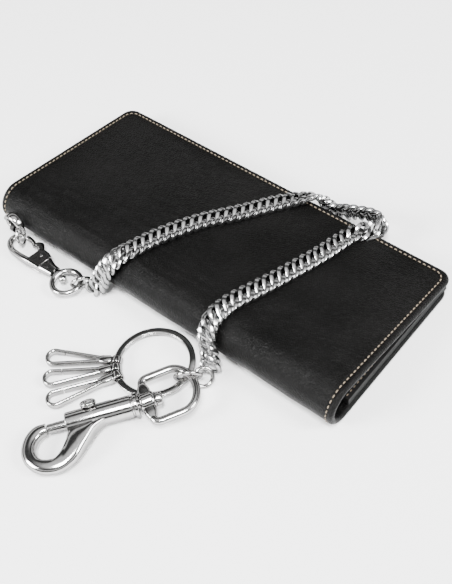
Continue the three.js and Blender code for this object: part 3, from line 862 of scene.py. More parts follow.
    def build(self, shop: Workshop) -> None:
        """Makes both leather sheets and their stitching."""
        low = self.skin_part(self.seam, 0.0, -1.0)
        shop.piece("lower_leather", [low], LEATHER, Body.LOWER, ("lower_cover", "spine"))
        high = self.skin_part(self.seam, self.end, 1.0)
        shop.folding("upper_leather", [high], LEATHER, ("upper_cover",))
        thread = self.stitches(self.seam, self.end, 1.0)
        shop.folding("upper_stitches", [thread], THREAD)
        thread = self.stitches(self.seam, 0.0, -1.0)
        shop.piece("lower_stitches", [thread], THREAD, Body.LOWER)


@dataclass
class Leaf:
    """A flat inner sheet of the wallet, with a soft rim and a slight swell."""

    name: str
    half: float
    near: float
    far: float
    thickness: float
    seed: int
    body: Body
    rim: float = 0.0

    def part(self, matrix: Array, origin: Array, depth: float) -> Part:
        """Top and under faces that close up within a rim, as in a pillow with a flat middle.

        Args:
            matrix: the sheet's axes.
            origin: where its local origin lies.
            depth: how far its top face is below the local XY plane.
        Returns:
            The closed sheet.
        """
        edge = np.array([0, 0.05, 0.2, 0.5, 1.0, 2.0, 3.0, 4.0, 5.0])
        mid, reach = (self.near + self.far) / 2, (self.far - self.near) / 2
        inner_x, inner_v = self.half - 6, reach - 4
        columns = np.concatenate([self.half - edge, edge - self.half, np.linspace(-inner_x, inner_x, 70)])
        rows = np.concatenate([reach - edge[:-2], edge[:-2] - reach, np.linspace(-inner_v, inner_v, 24)])
        v, x = np.meshgrid(np.unique(rows), np.unique(columns), indexing="ij")
        gap = np.minimum(self.half - np.abs(x), reach - np.abs(v))
        closing = rounded(gap, self.thickness / 2)
        swell = 0.05 * value_noise(x, v, 9, self.seed) * smooth(0, 3, gap)
        rim_gap = np.minimum(self.half - np.abs(x), reach - v)
        raised = self.rim * (1 - smooth(5.0, 5.6, rim_gap)) * smooth(0, 0.4, gap)
        seam = -0.12 * bell(gap, 2.4, 0.4)
        h = self.thickness / 2
        top = np.stack([x, v + mid, -depth - h + h * closing + swell * 0.5 + seam + raised], -1)
        under = np.stack([x, v + mid, -depth - h - h * closing], -1)
        return closed_sheet(top, under).placed(matrix, origin)
    def stitches(self, inset: float, height: float, wallet: "Wallet") -> Part:
        """A row of thread stitches on the sheet's rim, along one end, the free edge and the other end.

        Args:
            inset: distance from the sheet's edge.
            height: height of the rim's top.
            wallet: gives the stitch pitch.
        Returns:
            Every stitch.
        """
        x, far = self.half - inset, self.far - inset
        line = np.array([[-x, self.near + 1], [-x, far], [x, far], [x, self.near + 1]])
        return stitch_row(line, wallet.stitch_pitch, lambda u, v, h: np.stack([u, v, height + h], -1))


@dataclass
class Inside:
    """Linings, card strips, the coin pocket and its zip."""

    wallet: Wallet
    pocket_half: float = 88.0
    pocket_near: float = -24.0
    pocket_far: float = 20.0
    pocket_low: float = 3.2
    pocket_high: float = 6.3
    lining_top: float = 2.95
    zip_y: float = -17.0
    zip_half: float = 84.0
    slot_half: float = 4.9
    tooth_pitch: float = 1.5

    def build(self, shop: Workshop) -> None:
        """Makes every inner sheet, the pocket and the zip."""
        flat, slope = np.eye(3), math.atan(self.wallet.drop)
        c, s = math.cos(slope), math.sin(slope)
        tip = np.array([[1, 0, 0], [0, c, s], [0, -s, c]])
        top = np.array([0, -35.0, 20.0])
        lower = Leaf("lower_lining", 93.9, -31.5, 41.8, 0.8, 21, Body.LOWER, rim=2.9)
        sheet = lower.part(flat, np.zeros(3), -self.lining_top)
        shop.piece(lower.name, [sheet], LINING, lower.body, ("lower_panel",))
        margin = lower.stitches(2.3, self.lining_top + lower.rim, self.wallet)
        shop.piece("margin_stitches", [margin], THREAD, lower.body)
        upper = Leaf("upper_lining", 93.8, 6, 79.2, 1.0, 22, Body.UPPER)
        sheet = upper.part(tip, top, 2.1)
        shop.piece(upper.name, [sheet], LINING, upper.body, ("upper_panel",))
        for i, near in enumerate((22, 38, 56)):
            strip = Leaf(f"card_pocket_{i + 1}", 88, near, 72, 0.7, 30 + i, Body.UPPER)
            sheet = strip.part(tip, top, 3.4 + i)
            shop.piece(strip.name, [sheet], LINING, strip.body, (f"card_strip_{i + 1}",))
        shop.piece("coin_pouch", [self.pouch()], LINING, Body.LOWER, ("coin_pocket",))
        for where, side in (("near", -1.0), ("far", 1.0)):
            tape, node = self.tape(side), f"zip_tape_{where}"
            shop.piece(f"zip_{where}_tape", [tape], TAPE, Body.LOWER, (node,))
            shop.piece(f"zip_{where}_teeth", self.teeth(side), ZIP_METAL, Body.LOWER)
        for name in ("zip_slider", "zip_pull"):
            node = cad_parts[name]
            node.data.materials.clear()
            node.data.materials.append(shop.materials[ZIP_METAL.name])
            bevel = node.modifiers.new("Soft edges", "BEVEL")
            bevel.width, bevel.segments = 0.0002, 2

    def pouch(self) -> Part:
        """A flat bag with a slot: a C-shaped section with round lips carried along X.

        The section is a thick line along the bag's outline, from one lip round to the other.
        """
        lo, hi, w = self.pocket_low, self.pocket_high, 0.4
        a, b = self.pocket_near + w, self.pocket_far - w
        lip_a, lip_b = self.zip_y - self.slot_half, self.zip_y + self.slot_half
        outline = [(lip_a, hi - w), (a + 1, hi - w), (a, hi - 1.2), (a, lo + 1.2), (a + 1, lo + w),
                   (b - 1, lo + w), (b, lo + 1.2), (b, hi - 1.2), (b - 1, hi - w), (lip_b, hi - w)]
        line = softened(outline, 0.8, 3)
        direction = unit(np.gradient(line, axis=0))
        across = np.stack([-direction[:, 1], direction[:, 0]], 1)
        section = np.concatenate([line + w * across, (line - w * across)[::-1]])
        inner = self.pocket_half - 0.6
        x = np.concatenate([[-self.pocket_half], np.linspace(-inner, inner, 60), [self.pocket_half]])
        n, m = len(x), len(section)
        rows = np.zeros((n, m, 3))
        rows[..., 0] = x[:, None]
        rows[..., 1:] = section[None]
        open_bag = shell(rows, caps=False)
        j = np.arange(m // 2 - 1)
        lid = np.stack([j, j + 1, m - 2 - j, m - 1 - j], 1)
        quads = np.concatenate([open_bag.quads, lid, lid[:, ::-1] + (n - 1) * m])
        return Part(open_bag.points, quads, open_bag.tris, open_bag.uv).outward()

    def tape(self, side: float) -> Part:
        """One cloth tape: a thin flat bar from the teeth to the slot's lip."""
        x = np.linspace(-self.zip_half, self.zip_half, 60)
        path = np.stack([x, np.full(60, self.zip_y + side * 2.7), np.full(60, 5.95)], 1)
        return tube(path, 2.0, UP, super_section(12, 6), flat=0.17)

    def teeth(self, side: float) -> list[Part]:
        """A row of small teeth: each is a short bar with a rounded head, (reach, half width, half height)."""
        count = int(2 * self.zip_half / self.tooth_pitch)
        x = -self.zip_half + self.tooth_pitch * (np.arange(count) + (0.25 if side > 0 else 0.75))
        section = super_section(8, 4)
        stations = np.array([
            [0.62, 0.45, 0.6], [0.7, 0.5, 0.8], [1.0, 0.5, 0.9], [1.35, 0.42, 0.9], [1.4, 0.35, 0.8],
        ])
        rows = np.zeros((len(stations), len(section), 3))
        rows[..., 1] = side * stations[:, None, 0]
        rows[..., 0] = stations[:, None, 1] * section[None, :, 0]
        rows[..., 2] = stations[:, None, 2] * section[None, :, 1]
        tooth = shell(rows)
        return [tooth.placed(np.eye(3), np.array([at, self.zip_y, 6.0])) for at in x]


# ---------------------------------------------------------------- rings, clasp, snap and keys


@dataclass
class WireRing:
    """A round ring of round wire."""

    name: str
    radius: float
    wire: float
    at: Triple
    normal: Triple
    body: Body
    stands_for: str

    def part(self) -> Part:
        """A circle carried round a larger circle, with a faint joint where the wire meets."""
        around = 72
        angle = full_turn(around)
        wire = self.wire * (1 - 0.16 * bell(np.minimum(angle, 2 * PI - angle), 0, 0.035))
        ring = tube(circle(self.radius, around), wire, UP, super_section(20), loop=True)
        return ring.placed(facing(self.normal), self.at)

    def build(self, shop: Workshop) -> None:
        """Makes the ring."""
        shop.piece(self.name, [self.part()], NICKEL, self.body, (self.stands_for,))


def arch_line(half: float, leg: float, rise: float, corner: float, count: int) -> Array:
    """A closed line: a straight foot, two legs and a half-elliptic top."""
    foot = np.array([[0.0, 0.0], [half - corner, 0.0]])
    right = arc((half - corner, corner), corner, corner, -90, 0, 6)
    top = arc((0, leg), half, rise, 0, 180, 25)
    left = arc((corner - half, corner), corner, corner, 180, 270, 6)
    line = np.concatenate([foot, right[1:], top, left, [[0.0, 0.0]]])
    length = travelled(line)
    return read_at(line, length, np.linspace(0, length[-1], count + 1)[:-1])


def wire_arch(half: float, leg: float, rise: float, corner: float, wire: float, widen: float = 0.0) -> Part:
    """A round wire bent to an arch in its local XY plane, its top wider by the given share."""
    count = 120
    line = arch_line(half, leg, rise, corner, count)
    path = np.concatenate([line, np.zeros((count, 1))], 1)
    flat = 1 + widen * smooth(leg, leg + 0.5 * rise, line[:, 1])
    return tube(path, wire, UP, super_section(20, 2.4), loop=True, flat=flat)


@dataclass
class SpineRing:
    """The D-ring that stands against the spine, and its leather keeper."""

    at: Triple = (-83.0, -47.5, 6.5)
    half: float = 4.85
    leg: float = 3.2
    wire: float = 1.15
    keeper_shift: float = -2.5
    keeper_width: float = 2.4

    def build(self, shop: Workshop) -> None:
        """Makes the ring and the keeper."""
        upright = np.array([[1, 0, 0], [0, 0, -1], [0, 1, 0]])
        ring = wire_arch(self.half, self.leg, self.half, 1.3, self.wire, 0.8).placed(upright, self.at)
        shop.piece("spine_d_ring", [ring], NICKEL, Body.SPINE_RING, ("d_ring",))
        w, bore, outside = self.keeper_width, 1.62, 2.2
        sleeve = softened([(0, bore), (0, outside), (w, outside), (w, bore), (0, bore)], 0.25, 3)
        keeper = shell(sleeve_rows(sleeve[:-1], 40), loop=True)
        keeper = keeper.placed(np.eye(3), np.array(self.at) + [self.keeper_shift, 0, 0])
        shop.piece("ring_keeper", [keeper], EDGE, Body.LOWER, ("d_ring_keeper",))


@dataclass
class TriggerClasp:
    """A cast trigger clasp: hooked body, pivoting trigger, and a swivel ring on a headed post."""

    at: Triple = (-50.3, -54.3, 3.67)
    turn: float = 174.7
    pitch: float = 0.5
    hook_at: float = 24.8
    pivot: Pair = (11.5, -1.6)

    def cast(self) -> list[Part]:
        """The body: the hooked bar, the two cheeks beside the trigger, and the neck."""
        outer = np.concatenate([
            spline([[0.2, 2.2], [3, 3.3], [8, 4.4], [17, 6.0], [self.hook_at, 6.4]], 22),
            arc((self.hook_at, 0), 8.65, 6.4, 88, -58, 34),
        ])
        inside = [[0.2, -2.2], [3, -2.6], [7.5, -2.0], [12.5, 1.7], [16.5, 2.6], [self.hook_at - 2, 3.4]]
        inner = np.concatenate([spline(inside, 22), arc((self.hook_at, 0), 5.75, 3.45, 105, -58, 34)])
        half = np.interp(np.arange(56), [0, 3, 16, 26, 56], [1.7, 2.25, 2.2, 1.5, 1.35])
        hook = band(outer, inner, half, 2.6, 22)
        cheek = band(np.array([[7.5, -4.2], [10, -4.9], [13, -4.9], [15.2, -3.4]]),
                     np.array([[7.5, 4.2], [10, 4.5], [13, 4.9], [15.2, 5.2]]), 0.38, 4, 18)
        cheeks = [cheek.placed(np.eye(3), np.array([0, 0, z])) for z in (-1.9, 1.9)]
        neck = band(np.array([[0.2, -2.9], [3, -2.9], [6, -3.6], [8.6, -4.5]]),
                    np.array([[0.2, 2.9], [3, 3.3], [6, 3.9], [8.6, 4.4]]), 2.25, 3, 20)
        return [hook, *cheeks, neck]

    def pin(self) -> Part:
        """The trigger's pivot pin, across the cheeks."""
        pin = turned(softened([(-2.45, 0), (-2.45, 0.75), (2.45, 0.75), (2.45, 0)], 0.25), 24)
        return pin.placed(np.array([[0, 1, 0], [0, 0, 1], [1, 0, 0]]), np.array([*self.pivot, 0]))

    def lever(self) -> Part:
        """The trigger: a thumb spur behind the pivot, and an arm that closes the hook's mouth."""
        spur = [[9.4, -2.6], [11.2, -4.1], [14.5, -5.2], [17.0, -6.9], [18.6, -7.5], [20.6, -6.3]]
        inside = [[9.6, -0.9], [11.6, 0.6], [14.0, -0.6], [16.6, -2.6], [18.4, -3.4], [20.4, -3.9]]
        arm_out = np.concatenate([spline(spur, 22), arc((self.hook_at, 0), 8.2, 6.0, 240, 289, 18)])
        arm_in = np.concatenate([spline(inside, 22), arc((self.hook_at, 0), 6.0, 3.9, 224, 288, 18)])
        return band(arm_out, arm_in, 1.15, 2.8, 18)

    def post(self) -> Part:
        """The headed post that the ring turns on."""
        head = [(-7.1, 0), (-6.9, 1.0), (-6.0, 1.75), (-4.8, 1.85), (-3.7, 1.4)]
        stem = [(-3.3, 0.8), (0.1, 0.8), (0.6, 1.0), (0.6, 0)]
        return turned(softened(head + stem, 0.35), 32)

    def ring(self) -> Part:
        """The swivel ring, thicker where the post goes through it."""
        around = 96
        angle = full_turn(around)
        wire = 1.35 + 0.35 * bell(np.minimum(angle, 2 * PI - angle), 0, 0.36)
        return tube(circle(6.5, around) + [-7.9, 0, 0], wire, UP, super_section(20), loop=True)

    def build(self, shop: Workshop) -> None:
        """Makes the five pieces of the clasp."""
        axes, origin = heading(self.turn, self.pitch), np.array(self.at)
        pieces = (
            ("clasp_hook", self.cast(), Body.CLASP, "clasp_body"),
            ("clasp_rivet", [self.pin()], Body.CLASP, "clasp_pin"),
            ("clasp_trigger", [self.lever()], Body.TRIGGER, "clasp_lever"),
            ("clasp_pivot_post", [self.post()], Body.CLASP, "clasp_post"),
            ("clasp_ring", [self.ring()], Body.CLASP_SWIVEL, "clasp_swivel_ring"),
        )
        for name, parts, body, node in pieces:
            placed = [part.placed(axes, origin) for part in parts]
            shop.piece(name, placed, NICKEL, body, (node,))


@dataclass
class BoltSnap:
    """A bolt snap: swivel eye, barrel and hook cast in one, and a sprung bolt with a thumb knob."""

    at: Triple = (30.3, -79.7, 6.0)
    turn: float = 233.8
    pitch: float = 2.35
    eye_turn: float = 60.0
    eye_pitch: float = -4.44
    knob_at: float = 22.8
    knob_angle: float = 50.0
    rounding: float = 0.5

    def barrel(self) -> Part:
        """The barrel: a tube with a collar, a groove and a round mouth, open at the front."""
        collar = [(3.8, 0), (3.8, 5.0), (5.4, 5.0), (5.6, 4.2), (6.3, 4.2), (6.5, 4.6)]
        wall = [(18, 4.62), (33.0, 4.6), (33.0, 2.3), (8.0, 2.3), (8.0, 0)]
        return turned(softened(collar + wall, self.rounding), 64)

    def hook(self) -> Part:
        """The hook: a bar between the outer and inner outlines, thick and round-edged."""
        around = 72
        outside = [[15, 3.9], [18.2, 4.5], [22.0, 7.0], [26.4, 12.0], [31.6, 17.4], [38.6, 20.2],
                   [45.8, 18.9], [50.8, 14], [52.3, 7.8], [50.0, 1.6], [45.8, -2.0], [41.25, -2.4]]
        inside = [[15.2, 2.5], [19.0, 2.5], [25.0, 2.5], [31.6, 2.9], [33.9, 7.2], [36.8, 13.8],
                  [43.0, 14.2], [46.0, 11.1], [46.4, 7.4], [44.9, 4.4], [43.2, 3.0], [41.25, 2.3]]
        half = np.interp(np.arange(around), [0, 10, 20, 30, 60, 71], [2.0, 3.9, 3.7, 2.85, 2.75, 2.5])
        return band(spline(outside, around), spline(inside, around), half, 2.5, 26)

    def knob_axes(self) -> Array:
        """Axes whose X points out along the knob's stem."""
        a = math.radians(self.knob_angle)
        out = np.array([0, -math.cos(a), math.sin(a)])
        along = np.array([1.0, 0, 0])
        return np.stack([out, np.cross(out, along), along], 1)

    def slot_shade_plate(self) -> Part:
        """A painted shade for the knob stem's slot: a thin dark plate with round ends set in the barrel's
        wall, where the open slot would show the shade inside.
        """
        length, half, along = 11.0, 1.15, 18.9
        middle = length / 2 - half
        front, back = arc((middle, 0), half, half, -90, 90, 13), arc((-middle, 0), half, half, 90, 270, 13)
        ends = np.concatenate([front, back])
        levels = []
        for z, k in ((4.2, 1.0), (4.63, 1.0), (4.66, 0.96)):
            height = np.full((len(ends), 1), z)
            levels.append(np.concatenate([height, ends[:, 1:] * k, ends[:, :1] * (1 - (1 - k) * 0.2)], 1))
        return shell(np.stack(levels)).placed(self.knob_axes(), np.array([along, 0, 0]))

    def eye(self) -> list[Part]:
        """The swivel eye: an arched wire loop, the block across its foot, and a round boss."""
        sideways = np.array([[0, 1, 0], [-1, 0, 0], [0, 0, 1]])
        loop = wire_arch(10.6, 12, 8.4, 2.6, 1.62).placed(sideways, np.zeros(3))
        across = np.array([-9.4, -9.0, -8.0, -6.6, -5.2, -2.5, 0, 2.5, 5.2, 6.6, 8.0, 9.0, 9.4])
        size = np.array([0.9, 1.35, 1.6, 2.2, 2.65, 2.7, 2.7, 2.7, 2.65, 2.2, 1.6, 1.35, 0.9])
        section = super_section(28, 4)
        x, y = size[:, None] * section[None, :, 0], across[:, None] + 0 * section[None, :, 0]
        block = shell(np.stack([x, y, np.minimum(size, 1.8)[:, None] * section[None, :, 1]], 2))
        boss = [(-3.2, 0), (-3.2, 3.3), (-2.2, 3.9), (2.2, 3.9), (3.3, 3.3), (3.3, 0)]
        return [loop, block, turned(softened(boss, 0.5), 48)]

    def spring(self) -> Part:
        """The coil behind the bolt: a wire carried along a helix."""
        turns, radius, wire, start, length = 7, 1.5, 0.28, 8.6, 8.6
        t = np.linspace(0, 1, 160)
        turn = 2 * PI * turns * t
        coil = np.stack([start + length * t, radius * np.cos(turn), radius * np.sin(turn)], 1)
        return tube(coil, wire, np.stack([0 * t, np.cos(turn), np.sin(turn)], 1), super_section(8))

    def build(self, shop: Workshop) -> None:
        """Makes the eye, the body, the rivet, the bolt, the knob and the spring."""
        axes, origin = heading(self.turn, self.pitch), np.array(self.at)
        eye_axes = heading(self.eye_turn, self.eye_pitch)
        parts = [part.placed(eye_axes, origin) for part in self.eye()]
        shop.piece("snap_swivel_eye", parts, NICKEL, Body.EYE, ("swivel_eye",))

        cast = [part.placed(axes, origin) for part in (self.barrel(), self.hook())]
        shop.piece("snap_casting", cast, NICKEL, Body.SNAP, ("snap_body",), sharp=60)
        # painted shade: a dark plate in the tape finish stands for the shade inside the knob's slot
        shop.piece("snap_slot_shade", [self.slot_shade_plate().placed(axes, origin)], TAPE, Body.SNAP)

        head = [(-6.3, 0), (-6.2, 2.2), (-5.7, 2.8), (-3.6, 2.85), (-3.5, 1.75), (4.2, 1.75), (4.2, 0)]
        rivet = turned(softened(head, 0.3), 40).placed(axes, origin)
        shop.piece("snap_swivel_rivet", [rivet], NICKEL, Body.SNAP, ("snap_rivet",))

        rod = [(17.8, 0), (17.8, 1.95), (40.5, 1.95), (40.9, 1.5), (40.9, 0)]
        bolt = turned(softened(rod, 0.3), 40).placed(axes, origin)
        shop.piece("snap_plunger", [bolt], NICKEL, Body.BOLT, ("snap_bolt",))

        stem = [(2.1, 0), (2.1, 1.0), (4.95, 1.0)]
        cap = [(5.0, 2.9), (5.5, 3.3), (6.5, 3.3), (7.0, 2.7), (7.15, 0)]
        knob = turned(softened(stem + cap, 0.3), 44).placed(self.knob_axes(), np.array([self.knob_at, 0, 0]))
        knob = knob.placed(axes, origin)
        shop.piece("snap_thumb_knob", [knob], NICKEL, Body.BOLT, ("snap_knob",))

        coil = self.spring().placed(axes, origin)
        coil_piece = shop.piece("snap_coil", [coil], ZIP_METAL, Body.SNAP, ("snap_spring",))
        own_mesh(coil_piece)


@dataclass
class Keys:
    """A flat split ring with three key hooks on short collars."""

    at: Triple = (18.2, -62.9, 3.1)
    normal: Triple = (-0.035, -0.015, 1.0)
    inner: float = 14.8
    outer: float = 17.4
    height: float = 1.8
    angles: tuple[float, ...] = (213.0, 227.0, 241.0)
    lift: float = 1.5

    def coil(self) -> Part:
        """Two flat turns of one strip: its height climbs by one strip within a short ramp.

        The strip's middle stays at one radius, and its height is a smooth step of the angle.
        """
        count, strip_gap, start, end_gap = 2 * 96, 0.03, np.radians(20), 0.03
        angle = np.linspace(start, start + 4 * PI - end_gap, count)
        turns = (angle - angle[0]) / (2 * PI)
        strip = self.height / 4 - strip_gap
        climb = smooth(0.94, 1.06, turns) * self.height / 2 - self.height / 4
        middle, reach = (self.inner + self.outer) / 2, (self.outer - self.inner) / 2
        path = np.stack([middle * np.cos(angle), middle * np.sin(angle), climb], 1)
        return tube(path, reach, UP, super_section(16, 5), flat=strip / reach)

    def collar(self) -> list[Part]:
        """A sleeve that turns on the ring, with a flat neck to the hook."""
        half, bore, outside = 1.5, 1.9, 2.42
        profile = [(-half, bore), (-half, outside), (half, outside), (half, bore), (-half, bore)]
        rows = sleeve_rows(softened(profile, 0.2, 3)[:-1], 36)
        neck = np.array([[2.0, 1.5], [2.6, 1.9], [4.4, 2.0], [6.6, 1.9], [7.0, 1.6]])
        thickness = [2.0, 2.1, 1.9, 1.8, 1.7]
        return [shell(rows[..., [1, 0, 2]], loop=True), band(neck, neck * [1, -1], thickness, 4, 16)]

    def hook(self) -> list[Part]:
        """A sprung loop of flat strip: narrow at the collar, wide and round at the end, with a gate gap."""
        length, tip, half = 24.7, 30, 1.6
        centre = (length - 4, 0)
        outer = np.concatenate([[[0.2, -1.6]], arc(centre, 4.2, 4.2, -84, 84, tip), [[0.2, 1.6]]])
        inner = np.concatenate([[[1.6, -0.2]], arc(centre, 2.5, 2.5, -84, 84, tip), [[1.6, 0.2]]])

        def strip(t: Array) -> Part:
            """The strip between both outlines, through the given stations."""
            return band(*(read_at(line, np.arange(tip + 2), t) for line in (outer, inner)), half, 3, 16)

        short_arm = strip(np.linspace(0, 0.77, 10))
        rest = [np.linspace(0.79, 1, 4)[:-1], np.arange(1, tip + 1), tip + np.linspace(0, 1, 12)[1:]]
        long_arm = strip(np.concatenate(rest))
        side = np.array([[0.1, 1.5], [0.9, 1.5], [2.6, 1.4]])
        root = band(side * [1, -1], side, half, 4, 16)
        shift = np.array([5.9, 0, 0])
        return [part.placed(np.eye(3), shift) for part in (long_arm, short_arm, root)]

    def build(self, shop: Workshop) -> None:
        """Makes the ring and the three hooks."""
        axes, origin = facing(self.normal), np.array(self.at)
        ring = self.coil().placed(axes, origin)
        shop.piece("split_ring", [ring], NICKEL, Body.KEYS, ("key_ring",))
        middle = (self.inner + self.outer) / 2
        for i, angle in enumerate(self.angles):
            spoke = axes @ heading(angle, 0)
            base = origin + spoke @ np.array([middle, 0, 0])
            lifted = spoke @ heading(0, -self.lift)
            body = f"hook_{i + 1}"
            collar = [part.placed(lifted, base) for part in self.collar()]
            node = f"key_hook_collar_{i + 1}"
            shop.piece(f"key_collar_{i + 1}", collar, NICKEL, body, (node,))
            hook = [part.placed(lifted, base) for part in self.hook()]
            shop.piece(f"key_loop_{i + 1}", hook, NICKEL, body, (f"key_hook_{i + 1}",))


# ---------------------------------------------------------------- the chain


@dataclass
class Chain:
    """A flat curb chain of twisted oval links with cut faces."""

    pitch: float = 3.95
    wire: float = 1.05
    half_length: float = 3.05
    half_width: float = 3.8
    slant: float = 22.0
    twist: float = 1.1
    cut: float = 1.9
    sink: float = 0.55
    drop: float = 10.5 / 80.0

    def route(self) -> list[tuple[Triple, Triple]]:
        """The chain's way: each point with the direction that its flat face looks there."""
        up = (0.0, 0.13, 1.0)

        def on_cover(*points: Pair) -> list[tuple[Triple, Triple]]:
            """Points on the sloping cover, at its height."""
            return [((x, y, 20 - (y + 35) * self.drop + 2.9), up) for x, y in points]

        return [
            ((-30.6, -50.2, 3.6), (0.3, -0.9, 0.5)),
            ((-28.2, -49.0, 6.0), (0.2, -1.0, 0.2)),
            ((-26.0, -47.9, 11.0), (0.0, -1.0, 0.1)),
            ((-23.8, -45.8, 17.0), (0.0, -0.8, 0.6)),
            ((-21.4, -41.4, 21.2), (0.0, -0.4, 0.9)),
            ((-19.6, -36.4, 22.8), up),
            *on_cover((-18.6, -33.4), (-15.2, -19.1), (-7.9, -0.9), (1.8, 15.3), (11.3, 32.4)),
            ((19.2, 44.6, 12.4), (-0.1, 0.6, 0.8)),
            ((22.5, 48.0, 10.5), (-0.2, 0.8, 0.5)),
            ((26.0, 49.8, 6.5), (-0.3, 0.9, 0.3)),
            ((30.5, 50.4, 5.2), (-0.1, 1.0, 0.3)),
            ((35.5, 50.6, 7.2), (0.0, 1.0, 0.3)),
            ((38.3, 50.2, 9.5), (0.1, 1.0, 0.4)),
            ((46.0, 52.0, 11.0), (0.1, 1.0, 0.3)),
            ((52.0, 52.0, 12.0), (0.4, 0.9, 0.3)),
            ((56.5, 49.0, 12.6), (0.9, 0.3, 0.4)),
            ((55.0, 44.0, 13.2), (0.7, -0.2, 0.7)),
            ((51.0, 39.5, 13.3), (0.3, -0.1, 1.0)),
            *on_cover((48.2, 34), (45.3, 16.3), (41.7, -0.2), (37.9, -15.7), (34.5, -27.7), (33.7, -34)),
            ((33.4, -37.0, 22.8), (0.0, -0.1, 1.0)),
            ((33.2, -41.4, 21.2), (0.0, -0.4, 0.9)),
            ((34.0, -46.2, 16.5), (0.0, -0.8, 0.6)),
            ((35.5, -47.9, 10.0), (0.0, -1.0, 0.1)),
            ((37.0, -49.0, 6.2), (0.2, -1.0, 0.3)),
            ((38.2, -50.4, 4.2), (0.3, -0.8, 0.6)),
        ]

    def line(self, count: int) -> tuple[Array, Array]:
        """The centreline and its face directions at evenly spaced lengths."""
        both = spline([[*p, *n] for p, n in self.route()], count * 8)
        length = travelled(both[:, :3])
        sampled = read_at(both, length, np.linspace(0, length[-1], count))
        normal = unit(sampled[:, 3:])
        return sampled[:, :3] - self.sink * normal, normal

    def link(self) -> Part:
        """One link: a ring slanted in plan, twisted along the chain, and cut flat above and below."""
        slant = math.radians(self.slant)
        long = np.array([self.half_length, 0, 0])
        wide = self.half_width * np.array([math.sin(slant), math.cos(slant), 0])
        oval = super_section(26, 2.3)
        path = oval[:, :1] * long + oval[:, 1:] * wide
        path[:, 2] -= 2 * self.twist * oval[:, 0] * oval[:, 1]
        part = tube(path, self.wire, np.cross(long, wide), super_section(8, 2.6), loop=True)
        part.points[:, 2] = np.clip(part.points[:, 2], -self.cut, self.cut)
        return part

    def build(self, shop: Workshop, pieces: list[bpy.types.Object]) -> None:
        """Args:
            shop: makes the piece.
            pieces: not used.
        """
        centre, _ = self.line(200)
        length = float(np.linalg.norm(np.diff(centre, axis=0), axis=1).sum())
        count = int(round(length / self.pitch))
        path, normal = self.line(count)
        tangent = unit(np.gradient(path, axis=0))
        normal = unit(normal - np.sum(normal * tangent, 1, keepdims=True) * tangent)
        side = np.cross(normal, tangent)
        link = self.link()
        axes = np.stack([tangent, side, normal], 2)
        points = np.einsum("nij,mj->nmi", axes, link.points) + path[:, None]
        chain = shop.folding("curb_chain", [link.repeated(points)], CHAIN_NICKEL,
                             ("chain_left_drop", "chain_top_run", "chain_right_drop"), sharp=38)
        LOG.info("chain: %d links, %.1f mm", count, length)


# ---------------------------------------------------------------- studio


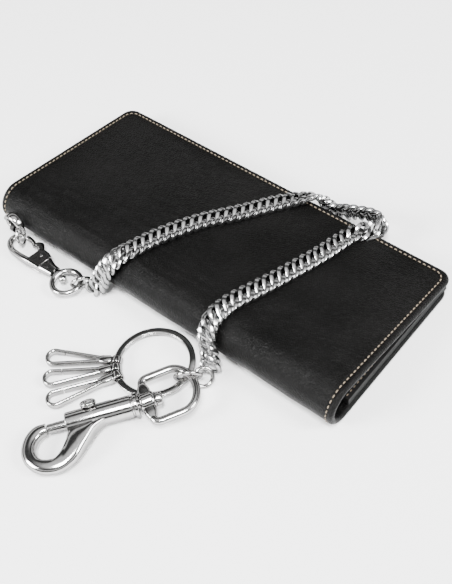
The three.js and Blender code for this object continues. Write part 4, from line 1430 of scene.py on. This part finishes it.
@dataclass
class Studio:
    """Pale floor, soft lights and the camera."""

    eye: Triple = (0.1916, -0.1916, 0.3134)
    forward: Triple = (-0.4368, 0.4422, -0.7834)
    up: Triple = (-0.4662, 0.6335, 0.6175)
    lens: float = 37.17
    sky: tuple[Pair, ...] = (
        (0.05, 0.9), (0.1, 0.03), (0.36, 0.02), (0.44, 0.7),
        (0.56, 0.9), (0.64, 0.04), (0.84, 0.03), (0.93, 0.8),
    )
    sky_power: float = 1.7

    def camera(self) -> None:
        """Places the camera, upright sensor fit, no depth of field."""
        data = bpy.data.cameras.new("Camera")
        data.sensor_fit, data.sensor_height, data.lens = "VERTICAL", 24.0, self.lens
        data.clip_start = 0.01
        obj = bpy.data.objects.new("Camera", data)
        back, up = -Vector(self.forward).normalized(), Vector(self.up).normalized()
        right = up.cross(back)
        turn = Matrix((right, up, back)).transposed().to_4x4()
        turn.translation = Vector(self.eye)
        obj.matrix_world = turn
        bpy.context.scene.collection.objects.link(obj)
        bpy.context.scene.camera = obj

    def floor(self) -> None:
        """A large pale sheet under the wallet."""
        data = bpy.data.meshes.new("Floor")
        half = 3.0
        corners = [(-half, -half, 0), (half, -half, 0), (half, half, 0), (-half, half, 0)]
        data.from_pydata(corners, [], [(0, 1, 2, 3)])
        obj = bpy.data.objects.new("Floor", data)
        material = bpy.data.materials.new("Floor")
        material.use_nodes = True
        shader = material.node_tree.nodes["Principled BSDF"]
        shader.inputs["Base Color"].default_value = (0.96, 0.96, 0.96, 1)
        shader.inputs["Roughness"].default_value = 0.9
        shader.inputs["Specular IOR Level"].default_value = 0.1
        data.materials.append(material)
        bpy.context.scene.collection.objects.link(obj)
        obj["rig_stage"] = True

    def light(self, name: str, at: Triple, size: float, power: float) -> None:
        """An area light that faces the wallet."""
        data = bpy.data.lights.new(name, "AREA")
        data.shape, data.size, data.energy = "SQUARE", size, power
        obj = bpy.data.objects.new(name, data)
        obj.location = at
        obj.rotation_euler = (-Vector(at)).to_track_quat("-Z", "Y").to_euler()
        bpy.context.scene.collection.objects.link(obj)

    def build(self) -> None:
        """Sets the floor, the world and the lights."""
        self.floor()
        world = bpy.data.worlds.new("Studio")
        world.use_nodes = True
        tree = world.node_tree
        where = tree.nodes.new("ShaderNodeTexCoord")
        split = tree.nodes.new("ShaderNodeSeparateXYZ")
        tree.links.new(where.outputs["Generated"], split.inputs[0])
        bands = tree.nodes.new("ShaderNodeValToRGB")
        stops = bands.color_ramp.elements
        stops[0].position, stops[0].color = 0.0, (0.9, 0.9, 0.9, 1)
        stops[1].position, stops[1].color = 1.0, (0.75, 0.75, 0.76, 1)
        for position, grey in self.sky:
            stops.new(position).color = (grey, grey, grey, 1)
        tree.links.new(split.outputs["Z"], bands.inputs["Fac"])
        tree.links.new(bands.outputs["Color"], tree.nodes["Background"].inputs[0])
        tree.nodes["Background"].inputs[1].default_value = self.sky_power
        bpy.context.scene.world = world
        self.light("Key", (-0.55, -0.95, 0.62), 0.5, 34)
        self.light("Fill", (1.0, 0.35, 0.9), 0.5, 30)
        self.light("Top", (0.3, -0.35, 1.2), 0.35, 38)


def main() -> None:
    """Builds the camera, the chain, the wallet and its hardware, and the studio."""
    logging.basicConfig(level=logging.INFO, format="%(message)s")
    studio = Studio()
    studio.camera()
    shop = Workshop()
    wallet = Wallet()
    SpineRing().build(shop)
    TriggerClasp().build(shop)
    BoltSnap().build(shop)
    Keys().build(shop)
    rings = (
        WireRing("clasp_link_ring", 4.67, 0.6, (-79.31, -48.59, 5.24), (0.787, 0.601, 0.141),
                 Body.LINK, "link_ring"),
        WireRing("first_ring", 4.2, 0.85, (-36, -51.7, 5), (-0.793, 0.527, 0.305),
                 Body.CHAIN_START, "chain_ring"),
        WireRing("last_ring", 3.9, 0.9, (39.79, -56.41, 3.91), (-0.691, 0.29, -0.662),
                 Body.CHAIN_END, "end_ring"),
        WireRing("jumper_ring", 5.2, 0.9, (35.38, -60.83, 5.92), (-0.642, 0.703, 0.306),
                 Body.JUMP, "jump_ring"),
    )
    for ring in rings:
        ring.build(shop)
    hardware = [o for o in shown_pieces() if "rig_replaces" in o]
    Chain().build(shop, hardware)
    wallet.build(shop)
    Inside(wallet).build(shop)
    studio.build()


if __name__ == "__main__":
    main()
